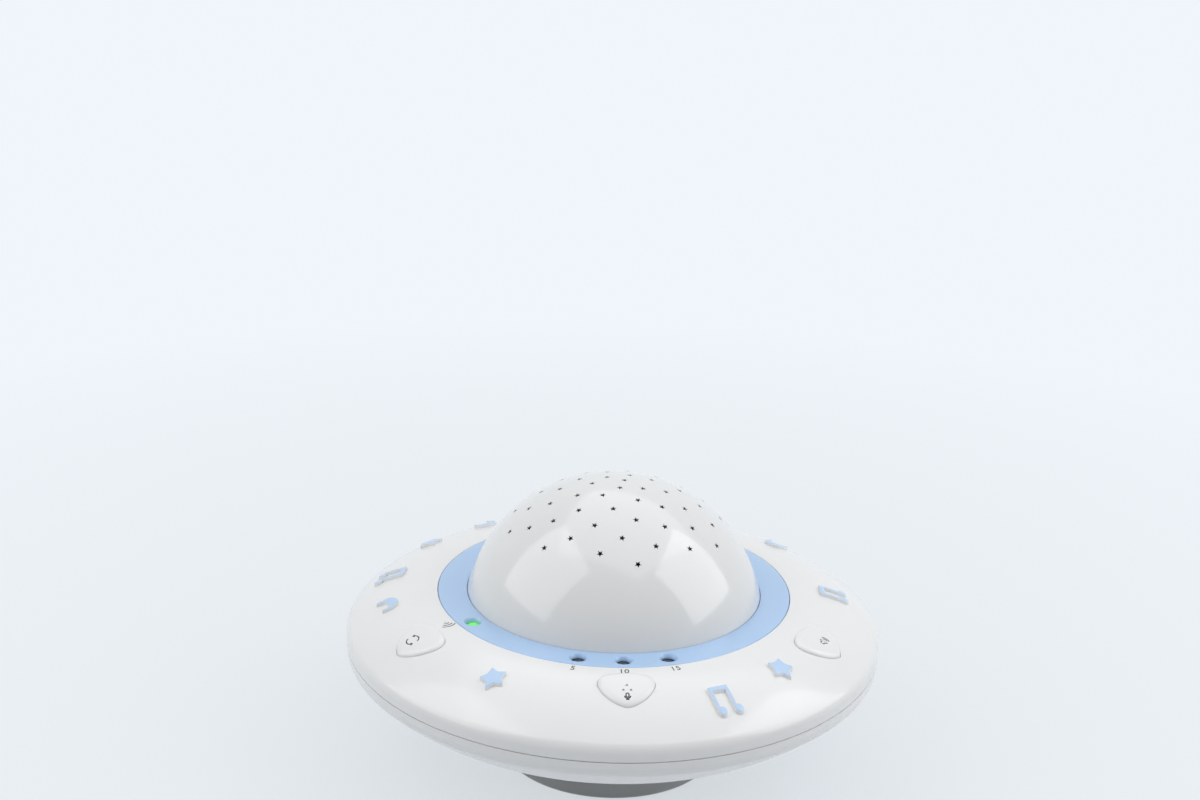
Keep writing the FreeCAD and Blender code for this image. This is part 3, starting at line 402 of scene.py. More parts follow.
# %% [markdown]
# The hidden pieces get a true finish too, for anyone who opens the case: a green board with
# copper tracks, a pressed-paper cone with rings, a sintered magnet, a printed cell sleeve and
# wires whose colour depends on which of the pair they are.

# %% Board, paper, ferrite, cells and wires
def board_finish():
    made = Finish("board_green", "printed", {"Coat Weight": 0.3, "Coat Roughness": 0.2})
    inputs = {"Vector": made.place, "Scale": 1 / (3.2 * MM), "Randomness": 0.35}
    cells = made.node("ShaderNodeTexVoronoi", {"feature": "DISTANCE_TO_EDGE"}, inputs)
    track = made.clamp((cells - 0.10) * 30)
    dots = made.node("ShaderNodeTexVoronoi", {"feature": "F1"}, inputs)
    solder = made.clamp((0.18 - dots) * 25)
    green = made.mix(track, (0.03, 0.26, 0.09), (0.012, 0.13, 0.045))
    made.paint(made.mix(solder, green, (0.62, 0.62, 0.60)), 0.4 - solder * 0.12)
    made.feed(made.shader.inputs["Metallic"], solder)
    made.relief(track * -0.5 + solder, 0.04)


def paper_finish():
    made = Finish("speaker_paper", "pressed")
    inputs = {"Vector": made.place, "Scale": 40.0, "Distortion": 1.5}
    rings = made.node("ShaderNodeTexWave", {"wave_type": "RINGS", "rings_direction": "Z"}, inputs)
    made.wear((0.045, 0.042, 0.04), (0.075, 0.07, 0.066), 0.85, 0.1, 1.5)
    made.relief(rings * 0.6 + made.noise(0.4, 4.0) * 0.4, 0.05)


def sleeve_finish(slot, across, dark, light, edge):
    """Two colours that meet where one coordinate passes an edge."""
    made = Finish(slot, "sleeve", {"Coat Weight": 0.2})
    tone = made.mix(made.noise(3.0), dark, tuple(c * 1.15 for c in dark))
    colour = made.mix(made.part(across) > edge, tone, light)
    made.paint(colour, 0.38 + made.noise(1.0) * 0.1)
    made.relief(made.noise(0.5), 0.01)


board_finish()
paper_finish()
moulded("magnet_ferrite", (0.06, 0.06, 0.062), 0.62, 0.25, 0.04, None, 0.7)
sleeve_finish("cell_wrap", "Y", (0.05, 0.06, 0.07), (0.55, 0.36, 0.10), 12.0)
sleeve_finish("wire_sleeve", "X", (0.42, 0.02, 0.015), (0.02, 0.02, 0.022), 0.0)
print("finishes:", sorted(finish))

# %% [markdown]
# ## Giving the frame its finishes
#
# Each part came in with one material, named after its slot in the record. Swapping that one
# material is enough for every part whose shape is already right, such as the lower bowl, the
# foot, the board and all that is inside. Their meshes are not touched.

# %% Finishes on the frame's own parts
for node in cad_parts.values():
    slot_name = node.data.materials[0].name.split(".")[0]
    node.data.materials[0] = finish[slot_name]
print("parts with a finish:", len(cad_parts))

# %% [markdown]
# ## Tools for making meshes
#
# A piece starts as points in millimetres. The finished piece always sits at the origin,
# unturned and unscaled, with its place in its own points, as the frame's parts have it.

# %% Mesh helpers
def new_piece(name, points, faces=()):
    """A mesh object from points in millimetres."""
    mesh = bpy.data.meshes.new(name)
    mesh.from_pydata([Vector(p) * MM for p in points], [], list(faces))
    piece = bpy.data.objects.new(name, mesh)
    bpy.context.collection.objects.link(piece)
    return piece


def settle(piece):
    """Keeps the result of a piece's modifiers as its plain mesh."""
    graph = bpy.context.evaluated_depsgraph_get()
    mesh = bpy.data.meshes.new_from_object(piece.evaluated_get(graph), depsgraph=graph)
    piece.modifiers.clear()
    piece.data = mesh


def outward(piece):
    """Turns a closed mesh right side out."""
    mesh = bmesh.new()
    mesh.from_mesh(piece.data)
    bmesh.ops.remove_doubles(mesh, verts=mesh.verts, dist=0.001 * MM)
    bmesh.ops.recalc_face_normals(mesh, faces=mesh.faces)
    if mesh.calc_volume(signed=True) < 0:
        bmesh.ops.reverse_faces(mesh, faces=mesh.faces)
    open_edges = sum(1 for edge in mesh.edges if not edge.is_manifold)
    mesh.to_mesh(piece.data)
    mesh.free()
    print(f"{piece.name}: {len(piece.data.polygons)} faces, {open_edges} open edges")


def remove(piece):
    bpy.data.objects.remove(piece)


def stand(piece, radius, azimuth):
    """Moves a piece's points from the axis to a place on a circle."""
    piece.data.transform(Matrix.Translation(Vector((*polar(radius, azimuth), 0)) * MM))
    return piece


def kept(mesh, name, slot):
    """Turns a mesh under construction into a piece."""
    piece = new_piece(name, [])
    mesh.to_mesh(piece.data)
    mesh.free()
    piece.data.materials.append(finish[slot])
    return piece


def hand_over(piece, body, slot, *nodes):
    """Tells the frame which body a piece rides on and what it stands for. The slot is not used."""
    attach(piece, body)
    if nodes:
        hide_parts(*nodes)


# %% [markdown]
# ## Geometry trees
#
# A geometry tree is built once and can run on many pieces. Each one here opens with named
# inputs and ends in real geometry with its material, and its result is kept as a plain mesh.

# %% Geometry node helpers
def new_tree(name, inputs):
    """An empty geometry tree with named inputs. Returns it with its group input node."""
    tree = bpy.data.node_groups.new(name, "GeometryNodeTree")
    tree.interface.new_socket("Geometry", in_out="INPUT", socket_type="NodeSocketGeometry")
    tree.interface.new_socket("Geometry", in_out="OUTPUT", socket_type="NodeSocketGeometry")
    for title, kind in inputs.items():
        tree.interface.new_socket(title, in_out="INPUT", socket_type="NodeSocket" + kind)
    graph = Graph(tree)
    entry = tree.nodes.new("NodeGroupInput")
    return graph, lambda title: Wire(graph, entry.outputs[title])


def close_tree(graph, geometry, material):
    """Every tree ends the same way: real geometry, smooth, with its material."""
    real = graph.node("GeometryNodeRealizeInstances", None, {"Geometry": geometry})
    smooth = graph.node("GeometryNodeSetShadeSmooth", None, {"Geometry": real})
    made = graph.node("GeometryNodeSetMaterial", None, {"Geometry": smooth, "Material": material})
    graph.feed(graph.tree.nodes.new("NodeGroupOutput").inputs[0], made)
    return graph.tree


def run_tree(host, tree, **sizes):
    """Runs a tree on a piece, with its inputs set by their identifiers, and settles it."""
    modifier = host.modifiers.new(tree.name, "NODES")
    modifier.node_group = tree
    for item in tree.interface.items_tree:
        key = item.name.lower().replace(" ", "_")
        if item.in_out == "INPUT" and key in sizes:
            modifier[item.identifier] = sizes.pop(key)
    settle(host)


# %% [markdown]
# Most of this object is turned: shells, ring, dome, lamps, screws and pads are all a section
# swung about an axis. The lathe reads the section from the points of the object that it runs
# on, spreads a grid with one column for each step round, and puts every point of the grid
# where a lathe would. Merging by distance closes the seam and the poles.

# %% The lathe
def make_lathe_tree():
    graph, given = new_tree("lathe", {"Steps Around": "Int", "Material": "Material"})
    section = given("Geometry")
    rows = graph.node("GeometryNodeAttributeDomainSize", None, {"Geometry": section}, "Point Count")
    steps = given("Steps Around")
    grid = graph.node("GeometryNodeMeshGrid", None, {"Vertices X": steps + 1, "Vertices Y": rows})
    index = graph.node("GeometryNodeInputIndex")
    column = graph.node("ShaderNodeMath", {"operation": "FLOOR"}, {0: (index + 0.5) / rows})
    row = index - column * rows
    place = graph.node("GeometryNodeInputPosition")
    settings = {"data_type": "FLOAT_VECTOR", "domain": "POINT"}
    point = graph.node("GeometryNodeSampleIndex", settings,
                       {"Geometry": section, "Value": place, "Index": row})
    angle = column * math.tau / steps
    turned = graph.node("ShaderNodeVectorRotate", {"rotation_type": "Z_AXIS"},
                        {"Vector": point, "Angle": angle})
    swung = graph.node("GeometryNodeSetPosition", None, {"Geometry": grid, "Position": turned})
    merged = graph.node("GeometryNodeMergeByDistance", None,
                        {"Geometry": swung, "Distance": 0.002 * MM})
    return close_tree(graph, merged, given("Material"))


lathe_tree = make_lathe_tree()


def lathe(name, section, slot, steps=256):
    """Turns a section of (radius, height) points. One that leaves the axis out is closed."""
    points = [(r, 0, z) for r, z in section]
    if section[0][0] > 0:
        points.append(points[0])
    piece = new_piece(name, points)
    run_tree(piece, lathe_tree, steps_around=steps, material=finish[slot])
    outward(piece)
    return piece


# %% [markdown]
# ## True normals
#
# Gloss shows every flaw in shading. Where a hole is cut in a curved skin, Blender guesses the
# shading from the odd faces left round the hole. The skin here is made of known arcs, so each
# face corner that lies on one of them simply gets the arc's own direction.

# %% Shading from the arcs themselves
arc_tolerance = 0.03
same_way = 0.9
tiny = 1e-9


def read(items, name, width=3, kind=float):
    """One property of every vertex, corner or face, as an array with a row for each."""
    values = np.zeros(len(items) * width, kind)
    items.foreach_get(name, values)
    return values.reshape(-1, width).squeeze()


def true_normals(piece, arcs=(), crease=32.0):
    """Sharp edges stay sharp, and faces on an arc (radius, height, size) get its normals."""
    mesh = piece.data
    mesh.shade_smooth()
    mesh.set_sharp_from_angle(angle=math.radians(crease))
    corners = read(mesh.corner_normals, "vector")
    points = read(mesh.vertices, "co") / MM
    owner = read(mesh.loops, "vertex_index", 1, int)
    starts = read(mesh.polygons, "loop_start", 1, int)
    totals = read(mesh.polygons, "loop_total", 1, int)
    facing = np.repeat(read(mesh.polygons, "normal"), totals, axis=0)
    reach = np.hypot(points[:, 0], points[:, 1])
    for middle_r, middle_z, size in arcs:
        arm = np.stack([reach - middle_r, points[:, 2] - middle_z], axis=1)
        length = np.maximum(np.hypot(arm[:, 0], arm[:, 1]), tiny)
        close = np.abs(length - size) < arc_tolerance
        whole = np.repeat(np.minimum.reduceat(close[owner].astype(int), starts), totals) > 0
        arm = arm / length[:, None]
        flat = arm[:, 0] / np.maximum(reach, tiny)
        normal = np.stack([points[:, 0] * flat, points[:, 1] * flat, arm[:, 1]], axis=1)[owner]
        match = np.einsum("ij,ij->i", normal, facing)
        chosen = whole & (np.abs(match) > same_way)
        corners[chosen] = (normal * np.sign(match)[:, None])[chosen]
    mesh.normals_split_custom_set(corners.tolist())


def carve(piece, cutter):
    """Cuts one closed mesh out of another and throws the cutter away."""
    modifier = piece.modifiers.new("carve", "BOOLEAN")
    modifier.operation = "DIFFERENCE"
    modifier.solver = "EXACT"
    modifier.object = cutter
    settle(piece)
    remove(cutter)


# %% [markdown]
# ## The upper shell
#
# The shell is one section: the recess that takes the ring and the dome's flange, the crown,
# the rounded rim, and a small step that makes the dark line where the two shells meet. The
# sharp edge beside the ring is broken by a third of a millimetre, as a mould does.

# %% Section of the upper shell
seam_gap = 0.2
seam_depth = 0.7
ledge_inner = 54.0
recess = ring_radius + fit_gap
edge_break = 0.35
ledge_bottom = ledge_top - wall
inner_rim = body_radius - wall
step_radius = recess + wall


def upper_section():
    points = [(ledge_inner, ledge_bottom), (ledge_inner, ledge_top), (recess, ledge_top)]
    corner = (recess + edge_break, crown_height(recess) - edge_break)
    points += swing(corner, edge_break, 180, 90, 4)
    start = crown_angle(recess + edge_break + 0.3)
    points += swing(crown_middle, crown_radius, start, crown_blend, 36)
    points += swing(rim_middle, rim_radius, crown_blend, 0, 10)[1:]
    points += [(body_radius, parting + seam_gap), (body_radius - seam_depth, parting + seam_gap)]
    points += [(body_radius - seam_depth, parting), (inner_rim, parting)]
    points += swing(rim_middle, rim_radius - wall, 0, crown_blend, 6)
    end = crown_angle(step_radius, -wall)
    points += swing(crown_middle, crown_radius - wall, crown_blend, end, 14)[1:]
    points.append((step_radius, ledge_bottom))
    return points


crown_arcs = [(*crown_middle, crown_radius), (*rim_middle, rim_radius)]
crown_shell = lathe("crown_shell", upper_section(), "shell_white", 288)

# %% [markdown]
# ## The shield shape of the pads
#
# Three pads stand in the crown: mode, microphone and volume. Their outline is five shallow
# arcs. Real tooling has no sharp corner there, so the outline is walked at an even pace and
# averaged with its neighbours a few times, which rounds the corners and leaves the sides.

# %% Outline of a pad
pad_inner = 75.2
pad_wide = 80.8
pad_outer = 91.4
pad_half = 10.4
pad_shoulder = 6.8
pad_points = 180
pad_softening = 22
pad_gap = 0.14
key_shift = 4.0


def bulged(a, b, sag):
    """Points of a shallow arc from a to b that stands out on its right-hand side."""
    steps = 40
    along = Vector(b) - Vector(a)
    out = Vector((along.y, -along.x)).normalized()
    size = (along.length ** 2 / 4 + sag ** 2) / (2 * sag)
    half = math.asin(along.length / 2 / size)
    middle = (Vector(a) + Vector(b)) / 2 + out * (sag - size)
    unit = along.normalized()
    turns = [half * (2 * i / steps - 1) for i in range(steps)]
    return [middle + unit * size * math.sin(t) + out * size * math.cos(t) for t in turns]


def even(points, count):
    """Walks a closed outline at an even pace."""
    outline = np.array([tuple(p)[:2] for p in points] + [tuple(points[0])[:2]])
    walked = np.concatenate([[0], np.cumsum(np.hypot(*np.diff(outline, axis=0).T))])
    places = np.linspace(0, walked[-1], count, endpoint=False)
    return np.stack([np.interp(places, walked, outline[:, k]) for k in (0, 1)], axis=1)


def rounded(outline, passes):
    """Averages each point with its neighbours, again and again."""
    for _ in range(passes):
        outline = (np.roll(outline, 1, axis=0) + outline * 2 + np.roll(outline, -1, axis=0)) / 4
    return outline


def grown(outline, reach):
    """Moves an outline outwards by a distance."""
    along = np.roll(outline, -1, axis=0) - np.roll(outline, 1, axis=0)
    out = np.stack([along[:, 1], -along[:, 0]], axis=1)
    return outline + out / np.hypot(*out.T)[:, None] * reach


def pad_outline(shift):
    """The shield. The two keys stand further out on the crown than the microphone's pad."""
    tip = (pad_outer + shift, 0)
    right = (pad_wide + shift, -pad_half)
    left = (pad_wide + shift, pad_half)
    left_top = (pad_inner + shift, pad_shoulder)
    right_top = (pad_inner + shift, -pad_shoulder)
    sides = [(right, tip, 2.0), (tip, left, 2.0), (left, left_top, 1.2)]
    sides += [(left_top, right_top, 0.9), (right_top, right, 1.2)]
    points = [p for a, b, sag in sides for p in bulged(a, b, sag)]
    return rounded(even(points, pad_points), pad_softening)


print("pad outline points:", len(pad_outline(0)))

# %% [markdown]
# ## Lofting on the crown
#
# A pad is a stack of rings that all share the outline. Each ring is the outline grown or
# shrunk a little and laid at some height above the crown. The rings at the edge follow a
# quarter round, and the last rings shrink to the middle, so the top keeps the crown's curve.

# %% Loft of rings on the crown
def on_crown(x, y, lift, azimuth):
    """The point above (x, y) on a layer of the crown, turned to an azimuth."""
    r = math.hypot(x, y)
    turn = math.atan2(y, x) + math.radians(azimuth)
    return r * math.cos(turn), r * math.sin(turn), crown_height(r, lift)


def loft(name, rings, azimuth, slot):
    """Joins rings of equal count into a closed skin. A ring is (outline, lift)."""
    points = []
    for outline, lift in rings:
        points += [on_crown(x, y, lift, azimuth) for x, y in outline]
    count = len(rings[0][0])
    faces = []
    for level in range(len(rings) - 1):
        for i in range(count):
            a = level * count + i
            b = level * count + (i + 1) % count
            faces.append((a, b, b + count, a + count))
    piece = new_piece(name, points, faces)
    piece.data.materials.append(finish[slot])
    outward(piece)
    return piece


pad_edge_height = 1.15
pad_edge_width = 2.3
flange_reach = 1.3
flange_depth = wall + 0.15
flange_thick = 1.0
edge_rings = 8
top_rings = 10


def shrunk(outline, share):
    middle = outline.mean(axis=0)
    return middle + (outline - middle) * share


def pad_rings(shield):
    """From the middle of the flange below the shell, out, up the edge and in over the top."""
    bottom = -flange_depth - flange_thick
    wide = grown(shield, flange_reach)
    rings = [(shrunk(wide, share), bottom) for share in (0.0, 0.5, 1.0)]
    rings += [(wide, -flange_depth), (shield, -flange_depth)]
    for step in range(edge_rings + 1):
        turn = math.radians(90 * step / edge_rings)
        inset = pad_edge_width * (1 - math.cos(turn))
        rings.append((grown(shield, -inset), pad_proud - pad_edge_height * (1 - math.sin(turn))))
    last = rings[-1][0]
    return rings + [(shrunk(last, 1 - k / top_rings), pad_proud) for k in range(1, top_rings + 1)]


print("rings of a pad:", len(pad_rings(pad_outline(0))))

# %% [markdown]
# The shell is cut with a plain prism of the same outline, a little larger all round. That thin
# gap is what lets a key move, and it is the fine dark line that draws each pad.

# %% Pads and their holes in the shell
pad_places = {"mode": (210, key_shift), "sound": (270, 0), "volume": (330, key_shift)}


def pad_cutter(shield, azimuth):
    """A prism a little wider than a pad, for its hole in the shell."""
    hole = [(math.hypot(x, y), math.degrees(math.atan2(y, x)) + azimuth)
            for x, y in grown(shield, pad_gap)]
    points = [(*polar(r, turn), z) for z in (ledge_bottom - 8, ring_top + 6) for r, turn in hole]
    count = len(hole)
    faces = [tuple(range(count)), tuple(range(count, 2 * count))]
    faces += [(i, (i + 1) % count, (i + 1) % count + count, i + count) for i in range(count)]
    cutter = new_piece("cutter", points, faces)
    outward(cutter)
    return cutter


pads = {}
for pad_name, (azimuth, shift) in pad_places.items():
    shield = pad_outline(shift)
    carve(crown_shell, pad_cutter(shield, azimuth))
    pads[pad_name] = loft(pad_name + "_pad", pad_rings(shield), azimuth, "shell_white")
true_normals(crown_shell, crown_arcs)
hand_over(crown_shell, "housing", "shell_white", "upper_shell")
print("crown shell:", len(crown_shell.data.polygons), "faces")

# %% [markdown]
# The microphone's pad has three sound holes in a triangle. They are drilled with small turned
# cutters, so that a close look finds real holes with a dark bottom.

# %% Sound holes
hole_circle = 84.0
hole_spread = 1.55
hole_radius = 0.5


def drill(radius, azimuth, size, bottom, top):
    section = [(0, bottom), (size, bottom), (size, top), (0, top)]
    return stand(lathe("drill", section, "part_black", 24), radius, azimuth)


middle_azimuth = pad_places["sound"][0]
for turn in (180, 300, 60):
    step_x, step_y = polar(hole_spread, turn)
    reach = math.hypot(hole_circle + step_x, step_y)
    aside = math.degrees(math.atan2(step_y, hole_circle + step_x))
    carve(pads["sound"],
          drill(reach, middle_azimuth + aside, hole_radius, ledge_bottom - 6, ring_top + 5))
for pad in pads.values():
    true_normals(pad)
hand_over(pads["mode"], "mode_key", "shell_white", "mode_button")
hand_over(pads["sound"], "housing", "shell_white", "mic_cover")
hand_over(pads["volume"], "volume_key", "shell_white", "volume_button")

# %% [markdown]
# ## The ring and its wells
#
# The ring is a flat band with a short skirt. Each indicator looks out of a conical well. Both
# long edges are broken, because a moulded edge always shows a thin bright line.

# %% Ring with four wells
ring_bottom = ring_top - 1.8
skirt = 2.5
well_mouth = 3.4
well_narrow = 2.65
well_depth = 1.4
ring_inner = dome_radius_at_ring + fit_gap


def ring_section():
    soft = 0.3
    points = [(ring_inner, ring_bottom)]
    points += swing((ring_inner + soft, ring_top - soft), soft, 180, 90, 4)
    points += [(ring_inner + (ring_radius - ring_inner) * k / 6, ring_top) for k in range(1, 6)]
    points += swing((ring_radius - soft, ring_top - soft), soft, 90, 0, 4)
    points += [(ring_radius, ledge_top), (ring_radius - skirt, ledge_top)]
    points.append((ring_radius - skirt, ring_bottom))
    return points


def well_cutter(azimuth):
    floor = ring_bottom - 1
    lip = 0.25
    section = [(0, floor), (well_narrow, floor), (well_narrow, ring_top - well_depth)]
    section += [(well_mouth, ring_top - lip * 0.4), (well_mouth + lip, ring_top + 0.05)]
    section += [(well_mouth + lip, ring_top + 1), (0, ring_top + 1)]
    return stand(lathe("well", section, "ring_blue", 48), led_circle, azimuth)


ring_band = lathe("ring_band", ring_section(), "ring_blue", 256)
for azimuth in led_azimuths.values():
    carve(ring_band, well_cutter(azimuth))
true_normals(ring_band)
hand_over(ring_band, "housing", "ring_blue", "trim_ring")

# %% [markdown]
# ## Indicator lamps
#
# Each lamp is a short cylinder with a shallow dome, turned on the same lathe and moved to its
# place in the mesh. Only the sound indicator is lit.

# %% Indicator lamps
lamp_radius = 2.5
lamp_dome = 0.8
lit_lift = 0.45


def lamp_section(name):
    """The lit lamp's lens stands a little nearer to the mouth of its well."""
    bottom = low(name, 2)
    top = high(name, 2) + (lit_lift if name == "vox_led" else 0)
    ball = (lamp_radius ** 2 + lamp_dome ** 2) / (2 * lamp_dome)
    edge = math.degrees(math.asin((ball - lamp_dome) / ball))
    points = [(0, bottom), (lamp_radius, bottom)]
    return points + swing((0, top - ball), ball, edge, 90, 10)


for name, azimuth in led_azimuths.items():
    slot = "led_green" if name == "vox_led" else "led_dark"
    lens = stand(lathe(name + "_lens", lamp_section(name), slot, 40), led_circle, azimuth)
    true_normals(lens)
    hand_over(lens, "housing", slot, name)

# %% [markdown]
# ## The pierced dome
#
# The holes follow a rule: step the golden angle round the axis for each new hole, and let the
# tilt grow with a power of its share of the count. That gives an even scatter with no rows,
# thinner towards the edge of the field. A geometry tree makes one star-shaped punch, sets a
# copy of it at each direction, and cuts them all out of the dome in one boolean.

# %% Punching the stars
star_count = 62
field_angle = 47.0
star_spread = 0.6
star_radius = 1.4
star_waist = 0.45
dome_wall = 1.8


def make_star_tree():
    inputs = {"Count": "Int", "Field Angle": "Float", "Spread": "Float", "Star Radius": "Float",
              "Waist": "Float", "Sphere Radius": "Float", "Sphere Height": "Float",
              "Punch Depth": "Float", "Material": "Material"}
    graph, given = new_tree("star_punch", inputs)
    count = given("Count")
    height = graph.node("ShaderNodeCombineXYZ", None, {"Z": given("Sphere Height")})
    points = graph.node("GeometryNodePoints", None, {"Count": count, "Position": height})
    index = graph.node("GeometryNodeInputIndex")
    golden = math.pi * (3 - math.sqrt(5))
    azimuth = index * golden
    tilt = given("Field Angle") * ((index + 0.5) / count) ** given("Spread")
    lean = graph.node("ShaderNodeCombineXYZ", None, {"Y": tilt, "Z": azimuth})
    spin = graph.node("ShaderNodeCombineXYZ", None, {"Z": azimuth * 7})
    lean = graph.node("FunctionNodeEulerToRotation", None, {0: lean})
    spin = graph.node("FunctionNodeEulerToRotation", None, {0: spin})
    aim = graph.node("FunctionNodeRotateRotation", {"rotation_space": "LOCAL"}, {0: lean, 1: spin})
    outer = given("Star Radius")
    star = graph.node("GeometryNodeCurveStar", None,
                      {"Points": 5, "Inner Radius": outer * given("Waist"), "Outer Radius": outer})
    depth = given("Punch Depth")
    start = graph.node("ShaderNodeCombineXYZ", None, {"Z": given("Sphere Radius") - depth})
    end = graph.node("ShaderNodeCombineXYZ", None, {"Z": given("Sphere Radius") + depth})
    path = graph.node("GeometryNodeCurvePrimitiveLine", None, {"Start": start, "End": end})
    punch = graph.node("GeometryNodeCurveToMesh", None,
                       {"Curve": path, "Profile Curve": star, "Fill Caps": True})
    copies = graph.node("GeometryNodeInstanceOnPoints", None,
                        {"Points": points, "Instance": punch, "Rotation": aim})
    real = graph.node("GeometryNodeRealizeInstances", None, {"Geometry": copies})
    cut = graph.node("GeometryNodeMeshBoolean", {"operation": "DIFFERENCE", "solver": "EXACT"},
                     {"Mesh 1": given("Geometry"), "Mesh 2": real})
    return close_tree(graph, cut, given("Material"))


def dome_section():
    inner = sphere_radius - dome_wall
    collar = dome_radius_at_ring - dome_wall
    edge = math.degrees(math.acos(dome_radius_at_ring / sphere_radius))
    inner_edge = math.degrees(math.acos(collar / inner))
    middle = (0, sphere_middle)
    flange_top = ledge_top + 1.5
    points = swing(middle, sphere_radius, 90, edge, 44)
    points += [(dome_radius_at_ring, flange_top), (dome_radius_at_ring + dome_flange, flange_top)]
    points += [(dome_radius_at_ring + dome_flange, ledge_top), (collar, ledge_top)]
    points += swing(middle, inner, inner_edge, 90, 24)
    return points


star_dome = lathe("pierced_dome", dome_section(), "dome_white", 224)
run_tree(star_dome, make_star_tree(), count=star_count, field_angle=math.radians(field_angle),
         spread=star_spread, star_radius=star_radius * MM, waist=star_waist,
         sphere_radius=sphere_radius * MM, sphere_height=sphere_middle * MM,
         punch_depth=2 * dome_wall * MM, material=finish["dome_white"])
outward(star_dome)
true_normals(star_dome, [(0, sphere_middle, sphere_radius)])
hand_over(star_dome, "housing", "dome_white", "star_dome")

# %% [markdown]
# ## Raised badges
#
# Stars, paired notes and crescents stand proud of the crown. Each is drawn flat as an outline,
# raised, and its top edge rounded. A flat piece with few points can't follow a curved shell,
# so it is diced along two sets of planes first and then wrapped: every point is moved to the
# crown's own height below it.

# %% Drawing and wrapping helpers
def corner_rounded(points, radius):
    """Replaces each corner of a polygon with a small curve."""
    steps = 4
    made = []
    count = len(points)
    for i, point in enumerate(points):
        here = Vector(point)
        back = Vector(points[i - 1]) - here
        ahead = Vector(points[(i + 1) % count]) - here
        start = here + back.normalized() * min(radius, back.length * 0.45)
        end = here + ahead.normalized() * min(radius, ahead.length * 0.45)
        for k in range(steps + 1):
            t = k / steps
            made.append(start * (1 - t) ** 2 + here * 2 * t * (1 - t) + end * t ** 2)
    return [tuple(p) for p in made]


def dice(mesh, pitch):
    """Cuts a flat piece along evenly spaced planes, so that it can bend."""
    for axis in (0, 1):
        values = [v.co[axis] for v in mesh.verts]
        direction = Vector((1 - axis, axis, 0))
        for k in range(math.ceil(min(values) / pitch), math.floor(max(values) / pitch) + 1):
            everything = mesh.verts[:] + mesh.edges[:] + mesh.faces[:]
            bmesh.ops.bisect_plane(mesh, geom=everything, dist=1e-5,
                                   plane_co=direction * (k * pitch), plane_no=direction)


def wrap(mesh, azimuth, radius, lift=0.0):
    """Lays a flat drawing in millimetres on the crown, its +X outwards."""
    for vertex in mesh.verts:
        x, y, z = vertex.co
        vertex.co = Vector(on_crown(radius + x, y, lift + z, azimuth)) * MM


badge_edge = 0.38
badge_seat = 0.12
badge_pitch = 0.9


def raised(name, outline, azimuth, radius):
    """A flat outline raised above the crown with its top edge rounded."""
    mesh = bmesh.new()
    base = mesh.faces.new([mesh.verts.new((x, y, -badge_seat)) for x, y in outline])
    made = bmesh.ops.extrude_face_region(mesh, geom=[base])
    top = [v for v in made["geom"] if isinstance(v, bmesh.types.BMVert)]
    bmesh.ops.translate(mesh, verts=top, vec=(0, 0, badge_proud + badge_seat))
    bmesh.ops.recalc_face_normals(mesh, faces=mesh.faces)
    rim = [e for e in mesh.edges if all(v in top for v in e.verts)]
    bmesh.ops.bevel(mesh, geom=rim, offset=badge_edge, segments=3, profile=0.5, affect="EDGES")
    dice(mesh, badge_pitch)
    wrap(mesh, azimuth, radius)
    piece = kept(mesh, name, "badge_blue")
    outward(piece)
    true_normals(piece, (), 50.0)
    return piece


# %% [markdown]
# The three motifs are plain ornament. A star is ten corners on two circles. The note pair is a
# beam, two stems and two round heads drawn as one outline. The crescent is a disc with a bite:
# where its two circles cross is worked out, so the horns end exactly there.

# %% Outlines of the motifs
def star_outline():
    tip = 5.3
    waist = tip * 0.56
    return corner_rounded([polar(waist if i % 2 else tip, 36 * i) for i in range(10)], 0.75)


def note_outline():
    half = 3.9
    stem = 1.3
    beam = 2.0
    head = 1.6
    back = -5.75
    front = 5.75 - head
    points = [(back, -half), (back, half)]
    for side in (half, stem - half):
        inner = side - stem
        middle = (front, inner + head)
        first = 180 + math.degrees(math.asin((middle[1] - side) / head))
        points += swing(middle, head, first, -90, 12)
        if side == half:
            points += [(back + beam, half - stem), (back + beam, stem - half)]
    return points


def moon_outline():
    big = 4.8
    small = 3.9
    shift = Vector((2.6, 0.6))
    lean = math.degrees(math.atan2(shift.y, shift.x))
    along = (big ** 2 - small ** 2 + shift.length ** 2) / (2 * shift.length)
    horn = math.degrees(math.acos(along / big))
    bite = math.degrees(math.acos((along - shift.length) / small))
    points = swing((0, 0), big, lean + horn, lean + 360 - horn, 36)
    points += swing(tuple(shift), small, lean + 360 - bite, lean + bite, 26)
    return rounded(even([Vector(p) for p in points], 90), 3).tolist()


motifs = {"star": star_outline(), "note": note_outline(), "moon": moon_outline()}
badge_places = {
    "star": ((237.3, 87.3), (311.3, 87.0), (145.0, 91.0), (62.0, 87.5)),
    "note": ((291.8, 92.3), (0.0, 88.0), (168.0, 91.0), (92.0, 88.0)),
    "moon": ((187.0, 90.0), (35.0, 88.0), (127.0, 86.0)),
}
for motif, places in badge_places.items():
    for number, (azimuth, radius) in enumerate(places, start=1):
        badge = raised(f"{motif}_{number}", motifs[motif], azimuth, radius)
        hand_over(badge, "housing", "badge_blue", f"{motif}_badge_{number}")

# %% [markdown]
# ## Printing
#
# Small grey printing names the controls. Here it is plain numbers for the three times, and
# plain pictures for the rest: sound waves, a pair of turning arrows, a microphone and a
# loudspeaker. Lines are drawn as thin round strokes, pressed flat, and wrapped like a badge, so
# the printing stands a few hundredths of a millimetre above the plastic, as ink does.

# %% Print helpers
print_height = 0.05
stroke = 0.24


